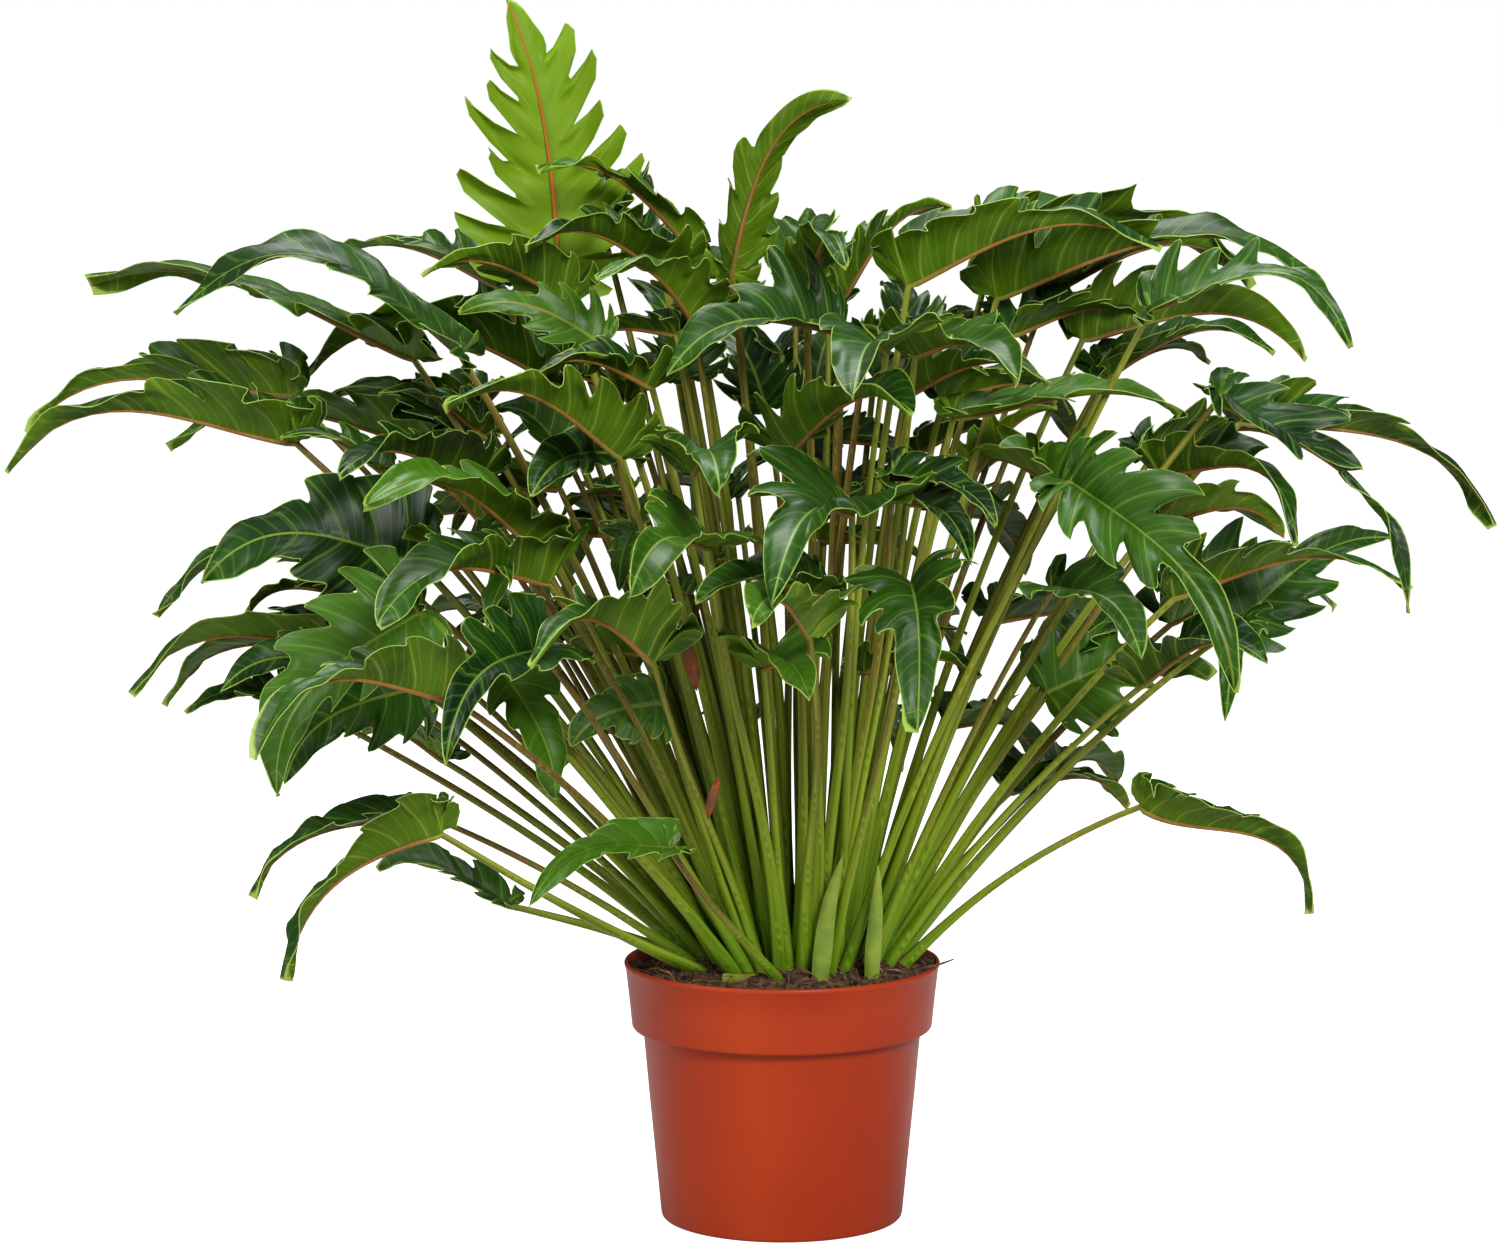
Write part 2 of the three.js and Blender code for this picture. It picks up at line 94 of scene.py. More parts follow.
# The leaves that the frame holds too, in the frame's own numbers
FRAME_LEAVES = {
    "leaf_left_01": (-319, 517, -10, -511, 498, -20, 6, 12, 0, 60, 80, 8, -10),
    "leaf_left_02": (-323, 549, 40, -497, 524, 50, 5, 10, 0, 62, 62, 8, -12),
    "leaf_left_03": (-241, 572, 10, -453, 620, 15, 4, 8, -5, 10, 110, 6, -4),
    "leaf_left_04": (-211, 576, -50, -397, 601, -80, 16, 12, 8, 8, 90, 6, 4),
    "leaf_left_05": (-187, 620, 70, -298, 634, 150, 8, 6, 10, 50, 65, 6, 0),
    "leaf_left_06": (-140, 609, -30, -236, 627, -110, 8, 6, -30, 30, 80, 4, 0),
    "leaf_left_07": (-120, 583, -80, -212, 602, -100, 10, 6, 55, 12, 100, 4, 0),
    "leaf_left_08": (-85, 553, -100, -162, 563, -155, 8, 6, 0, 50, 110, 3, 8),
    "leaf_left_09": (-107, 508, -120, -221, 538, -230, 8, 8, 0, 50, 80, 4, 0),
    "leaf_left_10": (-205, 487, -30, -292, 496, -150, 8, 6, 0, 50, 90, 6, 0),
    "leaf_left_11": (-165, 449, -110, -275, 475, -220, 10, 8, 10, 45, 85, 6, 0),
    "leaf_left_12": (-239, 436, -70, -384, 425, -100, 10, 10, 55, 18, 120, 8, 4),
    "leaf_left_13": (-262, 433, 40, -414, 403, 60, 8, 10, 10, 30, 70, 8, -22),
    "leaf_left_14": (-154, 424, -140, -268, 397, -260, 8, 8, -10, 50, 95, 6, 0),
    "leaf_left_15": (-240, 404, -130, -335, 282, -155, 10, 8, 50, 35, 115, 8, 4),
    "leaf_left_16": (-262, 372, 0, -433, 352, -10, 8, 10, 0, 40, 100, 8, 0),
    "leaf_left_17": (-217, 347, -195, -350, 307, -285, 10, 14, -10, 50, 95, 8, 4),
    "leaf_left_18": (-160, 380, -180, -223, 303, -290, 12, 8, 40, 40, 100, 6, 6),
    "leaf_left_19": (-85, 371, -170, -166, 368, -290, 12, 10, -10, 50, 110, 4, 0),
    "leaf_left_20": (-223, 306, 30, -281, 322, 90, 6, 8, -20, 45, 80, 6, 0),
    "leaf_left_21": (-234, 269, -60, -354, 215, -110, 8, 8, 0, 30, 80, 6, 0),
    "leaf_left_22": (-226, 257, -120, -330, 158, -170, 14, 5, -30, 35, 80, -4, 0),
    "leaf_left_23": (-75, 248, -200, -168, 209, -290, 8, 8, 40, 40, 48, 2, 12),
    "leaf_top_01": (-146, 634, 20, -180, 806, 10, 3, 2, -85, 10, 112, 3, 0),
    "leaf_top_02": (-78, 628, 0, -168, 643, -110, 8, 6, 10, 50, 90, 3, 0),
    "leaf_top_03": (-62, 648, 36, -160, 695, -60, 8, 6, 0, 50, 40, 2, 0),
    "leaf_top_04": (-33, 628, -10, 44, 741, -75, 14, 8, -45, 48, 58, 2, 0),
    "leaf_top_05": (9, 622, 60, 25, 660, 170, 8, 8, 0, 50, 90, 2, 0),
    "leaf_top_06": (39, 612, 40, 110, 672, 90, 8, 8, -20, 45, 110, 2, 0),
    "leaf_top_07": (82, 620, -50, 247, 644, -80, 8, 8, 0, 62, 85, 3, 0),
    "leaf_top_08": (136, 638, 80, 306, 619, 120, 10, 10, 0, 50, 90, 3, 0),
    "leaf_centre_01": (15, 612, 0, 42, 632, -110, 12, 14, 0, 45, 85, 2, 0),
    "leaf_centre_02": (38, 590, -60, -76, 561, -130, 10, 8, 30, 40, 130, 2, 0),
    "leaf_centre_03": (68, 576, -160, 46, 546, -310, 8, 6, 0, 40, 95, 2, 22),
    "leaf_centre_04": (87, 574, -90, 153, 556, -210, 8, 6, 0, 45, 90, 2, 0),
    "leaf_centre_05": (3, 508, -110, 86, 538, -235, 8, 6, -10, 50, 90, 2, 0),
    "leaf_centre_06": (-58, 497, -140, -41, 487, -280, 8, 6, 0, 45, 90, 2, 0),
    "leaf_centre_07": (-48, 448, -180, -100, 417, -310, 8, 8, 20, 40, 95, 2, 0),
    "leaf_centre_08": (46, 470, -150, -7, 410, -320, 10, 8, 10, 35, 105, 2, 0),
    "leaf_centre_09": (18, 388, -200, -20, 400, -330, 8, 6, 0, 50, 90, 2, 0),
    "leaf_centre_10": (85, 425, -190, 89, 325, -300, 12, 6, 20, 35, 100, 2, 0),
    "leaf_right_01": (140, 612, 10, 350, 626, 0, 8, 8, 0, 50, 85, 4, 0),
    "leaf_right_02": (241, 605, -60, 372, 580, -100, 14, 16, 25, 25, 100, 5, 0),
    "leaf_right_03": (196, 585, 60, 342, 571, 90, 8, 10, -20, 65, 90, 5, 0),
    "leaf_right_04": (285, 545, -70, 412, 405, -110, 10, 8, 18, 30, 70, 8, -8),
    "leaf_right_05": (300, 531, 50, 469, 463, 60, 8, 8, 0, 45, 75, 8, -4),
    "leaf_right_06": (247, 496, -20, 340, 450, -100, 12, 16, 0, 50, 90, 8, 22),
    "leaf_right_07": (189, 492, -150, 299, 352, -215, 8, 6, 50, 35, 88, 6, -16),
    "leaf_right_08": (258, 415, -20, 414, 421, -30, 8, 8, 0, 50, 90, 8, 0),
    "leaf_right_09": (256, 398, 60, 364, 408, 150, 8, 8, 0, 50, 90, 8, 0),
    "leaf_right_10": (236, 356, -90, 320, 372, -190, 8, 8, 0, 50, 85, 8, -4),
    "leaf_right_11": (177, 420, -120, 237, 375, -215, 10, 8, 30, 40, 90, 6, 0),
    "leaf_right_12": (237, 276, -80, 352, 204, -120, -2, 22, -10, 50, 80, 12, 0),
    "leaf_right_13": (165, 286, 80, 222, 291, 190, 8, 8, 0, 50, 85, 6, 0),
}

# Leaves between and behind those of the frame
MORE_LEAVES = {
    "left_24": (-215, 508, 70, -404, 515, 90, 6, 8, 0, 50, 75, 6, 0),
    "left_25": (-157, 562, 50, -312, 560, 60, 14, 8, 0, 50, 100, 5, 0),
    "left_26": (-60, 620, 60, -105, 640, 150, 8, 6, 0, 50, 90, 2, 0),
    "left_27": (-118, 659, 60, -85, 682, 170, 8, 6, 0, 50, 90, 2, 0),
    "left_28": (-80, 630, 95, -125, 658, 200, 8, 6, 0, 50, 90, 2, 0),
    "left_29": (-58, 597, -40, -122, 625, -150, 10, 6, 0, 50, 95, 2, 0),
    "left_30": (-112, 510, -60, -165, 482, -120, 10, 6, 50, 45, 130, 4, 0),
    "left_31": (-150, 440, -50, -195, 395, -140, 10, 8, 0, 45, 95, 4, 0),
    "left_32": (-212, 440, -60, -180, 425, -190, 8, 6, 10, 40, 95, 4, 0),
    "left_33": (-285, 418, 20, -355, 398, 60, 8, 10, 10, 45, 80, 8, 0),
    "left_34": (-270, 378, 40, -410, 344, 60, 8, 10, 0, 45, 110, 8, 0),
    "left_35": (-190, 372, -100, -150, 280, -130, 8, 6, 0, 15, 130, 4, 0),
    "left_36": (-80, 345, -90, -140, 316, -110, 8, 6, 60, 10, 140, 3, 0),
    "left_37": (-182, 209, 30, -268, 232, 80, 6, 8, 20, 40, 55, 5, 0),
    "centre_11": (88, 575, -20, 70, 620, 90, 8, 6, 0, 45, 90, 2, 0),
    "centre_12": (80, 548, -40, 176, 556, -110, 8, 8, 10, 45, 90, 2, 0),
    "centre_13": (25, 418, -160, -57, 411, -220, 8, 6, 20, 45, 90, 2, 0),
    "centre_14": (-12, 368, -140, 18, 347, -240, 8, 6, 0, 45, 120, 2, 0),
    "centre_15": (82, 478, -100, 124, 438, -200, 8, 6, 10, 45, 95, 2, 0),
    "centre_16": (72, 495, -110, 141, 463, -170, 8, 6, 20, 45, 90, 2, 0),
    "centre_17": (127, 498, 20, 180, 540, 20, 8, 6, -30, 60, 130, 3, 0),
    "centre_18": (-95, 462, -50, -108, 420, -120, 8, 6, 20, 40, 95, 2, 0),
    "centre_19": (-100, 484, 20, -145, 468, 60, 8, 6, 10, 40, 95, 3, 0),
    "centre_20": (-48, 434, -20, -18, 452, 50, 8, 6, 0, 45, 95, 2, 0),
    "centre_21": (22, 498, 60, 52, 524, 170, 8, 6, 0, 50, 95, 2, 0),
    "right_14": (172, 614, 60, 300, 632, 120, 8, 8, 0, 50, 80, 4, 0),
    "right_15": (214, 562, 40, 322, 576, 70, 12, 8, 0, 50, 45, 5, 0),
    "right_16": (112, 534, -60, 262, 537, -50, 2, 8, 10, 30, 60, 3, 0),
    "right_17": (182, 487, -60, 115, 490, 60, 8, 6, 0, 55, 95, 4, 0),
    "right_18": (240, 505, 40, 337, 513, 80, 8, 8, -10, 50, 95, 6, 0),
    "right_19": (250, 465, 50, 330, 455, 110, 8, 8, -30, 40, 110, 6, 0),
    "right_20": (300, 398, 40, 400, 455, 80, 6, 6, 50, 20, 95, 8, 0),
    "right_21": (297, 395, -20, 293, 333, -90, 16, 14, 0, 40, 110, 8, 0),
    "right_22": (175, 352, 20, 282, 361, 60, 8, 8, 55, 25, 120, 6, 0),
    "right_23": (195, 377, 40, 232, 398, 130, 8, 6, 0, 45, 90, 6, 0),
    "right_24": (150, 285, 80, 229, 275, 150, 8, 8, 0, 45, 90, 6, 0),
    "right_25": (60, 360, 90, 98, 350, 190, 8, 6, 0, 45, 90, 3, 0),
    "left_38": (-205, 523, 30, -295, 547, 60, 8, 8, 30, 40, 90, 5, 0),
    "left_39": (-195, 522, 10, -265, 548, -20, 8, 8, 20, 40, 100, 5, 0),
    "left_40": (-262, 498, -10, -330, 520, -30, 8, 8, 20, 40, 90, 6, 0),
    "left_41": (-195, 462, 20, -245, 490, 40, 8, 8, -30, 40, 130, 5, 0),
    "left_42": (-285, 372, -30, -372, 352, -60, 8, 8, 50, 25, 110, 6, 0),
    "left_43": (-310, 340, 10, -395, 338, 20, 8, 8, 30, 40, 100, 6, 0),
    "left_44": (-240, 355, -60, -330, 290, -90, 10, 8, 60, 20, 110, 6, 0),
    "left_45": (-140, 505, 30, -190, 540, 60, 8, 8, 30, 40, 130, 5, 0),
    "centre_22": (-62, 560, 30, -100, 625, 60, 8, 8, 40, 40, 120, 3, 0),
    "centre_23": (-10, 540, 60, -45, 590, 120, 8, 8, 30, 40, 130, 3, 0),
    "centre_24": (20, 545, 80, 35, 585, 160, 8, 8, 0, 40, 110, 3, 0),
}

# Lattice over which the leaves inside the plant are strewn, in millimetres
CORE_SEED = 5
CORE_LEVELS = (372, 410, 452, 490, 520, 548, 576)
CORE_COLUMNS = (-150, -85, -25, 35, 95, 160)
CORE_GAPS = 0.42

# The far side is drawn towards the pot's axis by these shares, so that it stays in the frame's box
FAR_JUNCTION_SHARE = 0.5
FAR_TIP_SHARE = 0.63

# Leaves of the far side, which fill the plant all round
BACK_LEAVES = {
    "back_01": (-60, 560, 130, -100, 540, 260, 8, 8, 0, 45, 95, 4, 0),
    "back_02": (0, 575, 140, -10, 560, 280, 8, 8, 0, 45, 95, 4, 0),
    "back_03": (60, 560, 140, 100, 545, 270, 8, 8, 0, 45, 95, 4, 0),
    "back_04": (-120, 530, 110, -190, 500, 210, 8, 8, 0, 45, 95, 4, 0),
    "back_05": (120, 540, 120, 190, 520, 230, 8, 8, 0, 45, 95, 4, 0),
    "back_06": (-170, 470, 90, -260, 440, 170, 8, 8, 0, 45, 95, 5, 0),
    "back_07": (180, 480, 100, 270, 450, 180, 8, 8, 0, 45, 95, 5, 0),
    "back_08": (-90, 470, 160, -140, 430, 290, 8, 8, 0, 45, 95, 5, 0),
    "back_09": (-30, 490, 170, -50, 450, 310, 8, 8, 0, 45, 95, 5, 0),
    "back_10": (40, 490, 170, 60, 455, 310, 8, 8, 0, 45, 95, 5, 0),
    "back_11": (100, 470, 160, 160, 430, 290, 8, 8, 0, 45, 95, 5, 0),
    "back_12": (-60, 400, 180, -100, 360, 300, 8, 10, 0, 45, 95, 6, 0),
    "back_13": (10, 410, 190, 20, 370, 320, 8, 10, 0, 45, 95, 6, 0),
    "back_14": (70, 400, 180, 120, 360, 300, 8, 10, 0, 45, 95, 6, 0),
    "back_15": (-130, 390, 130, -210, 360, 240, 8, 10, 0, 45, 95, 6, 0),
    "back_16": (140, 400, 130, 220, 370, 240, 8, 10, 0, 45, 95, 6, 0),
    "back_17": (-20, 330, 170, -40, 300, 280, 8, 10, 0, 45, 95, 6, 0),
    "back_18": (50, 330, 170, 80, 300, 280, 8, 10, 0, 45, 95, 6, 0),
    "back_19": (-90, 320, 150, -150, 300, 250, 8, 10, 0, 45, 95, 6, 0),
    "back_20": (110, 330, 150, 170, 300, 250, 8, 10, 0, 45, 95, 6, 0),
    "back_21": (-30, 610, 100, -60, 640, 200, 8, 8, 0, 45, 95, 3, 0),
    "back_22": (30, 600, 110, 50, 630, 220, 8, 8, 0, 45, 95, 3, 0),
    "back_23": (-200, 540, 100, -280, 530, 170, 8, 8, 0, 45, 95, 5, 0),
    "back_24": (210, 560, 100, 280, 570, 170, 8, 8, 0, 45, 95, 5, 0),
}

TONES = {
    "centre_17": Tone.FRESH,
    "right_17": Tone.FRESH,
    "right_19": Tone.FRESH,
    "right_22": Tone.FRESH,
    "left_29": Tone.FRESH,
    "left_35": Tone.FRESH,
    "left_36": Tone.FRESH,
    # leaf_top_01 is a young leaf: its bright yellow-green is partly its own colour and partly painted light
    # that shines through the thin blade
    "leaf_top_01": Tone.YOUNG,
    "leaf_top_04": Tone.FRESH,
    "leaf_left_07": Tone.FRESH,
    "leaf_left_11": Tone.FRESH,
    "leaf_left_23": Tone.FRESH,
    "leaf_left_09": Tone.GROWN,
    "leaf_right_12": Tone.GROWN,
}


def tone_of(name: str) -> Tone:
    """The leaf's own tone, or else one by chance: most leaves are old and few are fresh."""
    usual = (Tone.OLD,) * 3 + (Tone.GROWN,) * 2 + (Tone.FRESH,)
    return TONES.get(name) or random.Random("tone " + name).choice(usual)


def core_leaves() -> dict[str, LeafPlace]:
    """Places of the leaves inside the plant, which are mostly hidden.

    Returns:
        The places by leaf name.
    """
    chance = random.Random(CORE_SEED)
    made = {}
    for level in CORE_LEVELS:
        for column in CORE_COLUMNS:
            if chance.random() < CORE_GAPS:
                continue
            x = column + chance.randint(-22, 22)
            z = level + chance.randint(-14, 14)
            depth = chance.randint(-30, 90)
            outward = 1 if x > CROWN_X else -1
            tip_x = x + outward * chance.randint(35, 95)
            tip_depth = depth + chance.randint(-40, 70)
            tip_z = z + chance.randint(-30, 16)
            made[f"core_{len(made) + 1:02d}"] = LeafPlace(
                junction_x=x,
                junction_z=z,
                junction_depth=depth,
                tip_x=tip_x,
                tip_z=tip_z,
                tip_depth=tip_depth,
                fold=chance.choice((35, 45, 50)),
                width=100,
                bow=chance.randint(3, 6),
                turn=chance.randint(-14, 14),
            )
    return made


def drawn_in(far: LeafPlace) -> LeafPlace:
    """A far leaf's place, drawn towards the pot's axis.

    Args:
        far: the leaf's place as it would grow.

    Returns:
        The place inside the frame's box.
    """
    return replace(
        far,
        junction_depth=round(far.junction_depth * FAR_JUNCTION_SHARE),
        tip_depth=round(far.tip_depth * FAR_TIP_SHARE),
    )


USUAL_CUT = 0.36
# Leaves whose notches are not of the usual depth, as shares of the lobe
CUTS = {
    "leaf_top_01": 0.6,
    "leaf_right_04": 0.62,
    "leaf_right_07": 0.58,
    "leaf_right_05": 0.45,
    "leaf_right_08": 0.5,
    "leaf_centre_02": 0.5,
    "leaf_centre_10": 0.5,
    "leaf_left_07": 0.5,
    "leaf_left_21": 0.2,
    "leaf_left_22": 0.12,
    "leaf_left_23": 0.15,
    "leaf_right_12": 0.15,
}


def seen_at(x: float, z: float, depth: float) -> Vector:
    """World point on the sight line through (x, z) of the axis plane.

    Args:
        x: sideways place on the axis plane, in millimetres.
        z: height on the axis plane, in millimetres.
        depth: how far behind the axis plane the point lies, in millimetres.

    Returns:
        The point in metres.
    """
    share = (depth * MM - EYE.y) / -EYE.y
    return EYE + (Vector((x * MM, 0.0, z * MM)) - EYE) * share


def smooth_step(low: float, high: float, value: float) -> float:
    """Hermite step from 0 at low to 1 at high."""
    share = min(max((value - low) / (high - low), 0.0), 1.0)
    return share * share * (3 - 2 * share)


def knot_curve(knots: Sequence[float], place: float) -> float:
    """Catmull-Rom value of a row of knots.

    Args:
        knots: values at 0, 1, 2 and so on.
        place: where to read the curve.

    Returns:
        The curve's value, level past both ends.
    """
    place = min(max(place, 0.0), len(knots) - 1.0)
    i = min(int(place), len(knots) - 2)
    t = place - i
    a, b, c, d = (knots[min(max(i + k, 0), len(knots) - 1)] for k in (-1, 0, 1, 2))
    return b + 0.5 * t * (c - a + t * (2 * a - 5 * b + 4 * c - d + t * (3 * (b - c) + d - a)))


def mapped_grid(
    bm: bmesh.types.BMesh,
    columns: int,
    rows: int,
    place: Callable[[float, float], Vector],
) -> dict[bmesh.types.BMVert, tuple[float, float]]:
    """A grid laid onto a surface.

    Args:
        bm: mesh that the grid goes into.
        columns: faces along the first direction.
        rows: faces along the second direction.
        place: gives the point for two shares from -1 to 1.

    Returns:
        The two shares of each new vertex.
    """
    made = bmesh.ops.create_grid(bm, x_segments=columns, y_segments=rows, size=1.0)
    shares = {vert: (vert.co.x, vert.co.y) for vert in made["verts"]}
    for vert, (first, second) in shares.items():
        vert.co = place(first, second)
    return shares


def tube(
    bm: bmesh.types.BMesh, points: Sequence[Vector], radii: Sequence[float], sides: int
) -> dict[bmesh.types.BMVert, tuple[float, float]]:
    """A round tube along a line, with closed ends.

    Args:
        bm: mesh that the tube goes into.
        points: the line.
        radii: radius at each point.
        sides: faces round the tube.

    Returns:
        For each vertex of the wall, its share from 0 to 1 along the line and round it.
    """
    across = Vector((0.0, 1.0, 0.0))
    frames = []
    for i, point in enumerate(points):
        ahead = (points[min(i + 1, len(points) - 1)] - points[max(i - 1, 0)]).normalized()
        across = (across - ahead * across.dot(ahead)).normalized()
        frames.append((point, across.copy(), ahead.cross(across)))

    def place(first: float, second: float) -> Vector:
        """Point of the wall.

        Args:
            first: share from -1 to 1 along the tube.
            second: share from -1 to 1 round it.

        Returns:
            The point.
        """
        i = round((first + 1) / 2 * (len(points) - 1))
        angle = -math.pi * second
        centre, beside, third = frames[i]
        return centre + (beside * math.cos(angle) + third * math.sin(angle)) * radii[i]

    shares = mapped_grid(bm, len(points) - 1, sides, place)
    uv = bm.loops.layers.uv.verify()
    for face in {face for vert in shares for face in vert.link_faces}:
        for loop in face.loops:
            first, second = shares[loop.vert]
            loop[uv].uv = ((first + 1) / 2, (second + 1) / 2)
    ends = [vert for vert, (first, _) in shares.items() if abs(first) > 0.999]
    bmesh.ops.remove_doubles(bm, verts=list(shares), dist=1e-7)
    rims = {edge for vert in ends if vert.is_valid for edge in vert.link_edges if edge.is_boundary}
    bmesh.ops.holes_fill(bm, edges=list(rims), sides=sides + 1)
    return {vert: share for vert, share in shares.items() if vert.is_valid}


def finished_piece(
    name: str,
    bm: bmesh.types.BMesh,
    materials: Iterable[bpy.types.Material],
    slot: str,
    nodes: Sequence[str] = (),
    sharp_degrees: float = 50.0,
) -> bpy.types.Object:
    """Turns a bmesh into a piece that rides with the part.

    Args:
        name: the piece's name.
        bm: its mesh, which is freed.
        materials: its materials, in the order of the faces' material numbers.
        slot: the record's material slot; not used.
        nodes: frame nodes that the piece stands for.
        sharp_degrees: edges sharper than this stay crisp.

    Returns:
        The new object.
    """
    mesh = bpy.data.meshes.new(name)
    bm.to_mesh(mesh)
    bm.free()
    for material in materials:
        mesh.materials.append(material)
    mesh.shade_smooth()
    mesh.set_sharp_from_angle(angle=math.radians(sharp_degrees))
    piece = bpy.data.objects.new(name, mesh)
    bpy.context.scene.collection.objects.link(piece)
    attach(piece, "root")
    for node in nodes:
        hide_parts(node)
    log.info("%s: %d faces", name, len(mesh.polygons))
    return piece


class NodeBench:
    """Builds one material's nodes."""

    def __init__(self, name: str) -> None:
        """Starts a material with an empty node tree and its output.

        Args:
            name: the material's name.
        """
        self.material = bpy.data.materials.new(name)
        self.material.use_nodes = True
        self.tree = self.material.node_tree
        self.tree.nodes.clear()
        self.output = self.tree.nodes.new("ShaderNodeOutputMaterial")

    def add(self, kind: str, settings: dict | None = None, **sockets: object) -> bpy.types.Node:
        """Adds a node.

        Args:
            kind: the node's type.
            settings: properties of the node.
            **sockets: input sockets by name, with _ for a space, or by i and number; a value or an output.

        Returns:
            The node.
        """
        node = self.tree.nodes.new(kind)
        for key, value in (settings or {}).items():
            setattr(node, key, value)
        for key, value in sockets.items():
            if key[0] == "i" and key[1:].isdigit():
                socket = node.inputs[int(key[1:])]
            else:
                socket = node.inputs[key.replace("_", " ")]
            if isinstance(value, bpy.types.NodeSocket):
                self.tree.links.new(value, socket)
            else:
                socket.default_value = value
        return node

    def math(self, operation: str, first: object, second: object = 0.0) -> bpy.types.NodeSocket:
        """Output of a math node."""
        return self.add("ShaderNodeMath", {"operation": operation}, i0=first, i1=second).outputs[0]

    def ramp(self, value: object, low: float, high: float) -> bpy.types.NodeSocket:
        """Smooth 0 to 1 as the value goes from low to high."""
        settings = {"interpolation_type": "SMOOTHSTEP"}
        return self.add(
            "ShaderNodeMapRange", settings, Value=value, From_Min=low, From_Max=high
        ).outputs[0]

    def mix(self, share: object, first: object, second: object) -> bpy.types.NodeSocket:
        """Colour between two others.

        Args:
            share: 0 gives the first and 1 the second.
            first: a colour or an output.
            second: a colour or an output.

        Returns:
            The mixed colour's output.
        """
        node = self.add("ShaderNodeMix", {"data_type": "RGBA"})
        for socket, value in ((node.inputs[0], share), (node.inputs[6], first), (node.inputs[7], second)):
            if isinstance(value, bpy.types.NodeSocket):
                self.tree.links.new(value, socket)
            else:
                socket.default_value = value
        return node.outputs[2]

    def noise(self, scale: float, detail: float = 2.0, stretch: tuple = (1, 1, 1)) -> bpy.types.NodeSocket:
        """Noise on the object's own coordinates.

        Args:
            scale: how fine the noise is, in waves a metre.
            detail: its layers.
            stretch: what the coordinates are multiplied by first.

        Returns:
            The noise's output.
        """
        where = self.add("ShaderNodeTexCoord").outputs["Object"]
        if stretch != (1, 1, 1):
            where = self.add("ShaderNodeMapping", Vector=where, Scale=stretch).outputs[0]
        return self.add("ShaderNodeTexNoise", Vector=where, Scale=scale, Detail=detail).outputs["Fac"]

    def uv(self, layer: str) -> tuple[bpy.types.NodeSocket, bpy.types.NodeSocket]:
        """Reads a UV layer.

        Args:
            layer: the layer's name.

        Returns:
            Outputs of its two numbers.
        """
        vector = self.add("ShaderNodeUVMap", {"uv_map": layer}).outputs[0]
        parts = self.add("ShaderNodeSeparateXYZ", Vector=vector)
        return parts.outputs[0], parts.outputs[1]

    def attribute(self, name: str) -> bpy.types.NodeSocket:
        """A number that the mesh carries."""
        return self.add("ShaderNodeAttribute", {"attribute_name": name}).outputs["Fac"]

    def bump(self, height: object, distance: float, strength: float = 1.0) -> bpy.types.NodeSocket:
        """Bumped normal."""
        return self.add("ShaderNodeBump", Height=height, Distance=distance, Strength=strength).outputs[0]

    def finish(self, **sockets: object) -> bpy.types.Material:
        """Joins a principled shader to the output.

        Args:
            **sockets: the shader's sockets, as for add.

        Returns:
            The material.
        """
        shader = self.add("ShaderNodeBsdfPrincipled", **sockets)
        self.tree.links.new(shader.outputs[0], self.output.inputs[0])
        return self.material


def paint(red: float, green: float, blue: float) -> tuple[float, float, float, float]:
    """Linear colour of a display colour given as 0 to 255."""
    linear = [
        c / 12.92 if c <= 0.04045 else ((c + 0.055) / 1.055) ** 2.4
        for c in (red / 255, green / 255, blue / 255)
    ]
    return (*linear, 1.0)


@dataclass(frozen=True)
class BladeFinish:
    """Finish of one face of a leaf blade: tissue, veins, midrib and pale margin."""

    name: str
    deep: tuple
    light: tuple
    young: tuple
    vein: tuple
    midrib: tuple
    young_midrib: tuple
    margin: tuple
    roughness: float
    vein_share: float
    vein_relief: float
    shine: float

    def build(self) -> bpy.types.Material:
        """Builds the material, which reads the blade's distance maps and its tone.

        Returns:
            The material.
        """
        bench = NodeBench(self.name)
        vein_mm, midrib_mm = bench.uv("veins")
        margin_mm, station = bench.uv("edge")
        tone = bench.attribute("tone")
        patches = bench.ramp(bench.noise(18.0, 4.0), 0.36, 0.64)
        tissue = bench.mix(patches, self.deep, self.light)
        tissue = bench.mix(tone, tissue, self.young)
        # fine side veins between the main ones
        wave = bench.math("SINE", bench.math("MULTIPLY", station, 2 * math.pi * 5.0))
        threads = bench.math("MULTIPLY", bench.ramp(wave, 0.72, 1.0), 0.22)
        tissue = bench.mix(threads, tissue, self.vein)
        vein = bench.math("SUBTRACT", 1.0, bench.ramp(vein_mm, 0.2, 0.95))
        halo = bench.math("SUBTRACT", 1.0, bench.ramp(vein_mm, 0.3, 4.5))
        tissue = bench.mix(bench.math("MULTIPLY", halo, self.vein_share * 0.2), tissue, self.vein)
        tissue = bench.mix(bench.math("MULTIPLY", vein, self.vein_share), tissue, self.vein)
        rib = bench.math("SUBTRACT", 1.0, bench.ramp(midrib_mm, 0.7, 1.9))
        tissue = bench.mix(rib, tissue, bench.mix(bench.ramp(tone, 0.5, 1.0), self.midrib, self.young_midrib))
        edge = bench.math("SUBTRACT", 1.0, bench.ramp(margin_mm, 0.15, 0.75))
        tissue = bench.mix(edge, tissue, self.margin)
        grain = bench.noise(900.0, 2.0)
        swell = bench.noise(60.0, 2.0)
        relief = bench.math("MULTIPLY", vein, self.vein_relief)
        height = bench.math("ADD", bench.math("MULTIPLY", grain, 0.12), relief)
        height = bench.math("ADD", height, bench.math("MULTIPLY", swell, 1.2))
        roughness = bench.math("ADD", bench.math("MULTIPLY", grain, 0.12), self.roughness - 0.06)
        return bench.finish(
            Base_Color=tissue,
            Roughness=roughness,
            Normal=bench.bump(height, 0.0004, 0.6),
            Specular_IOR_Level=self.shine,
        )


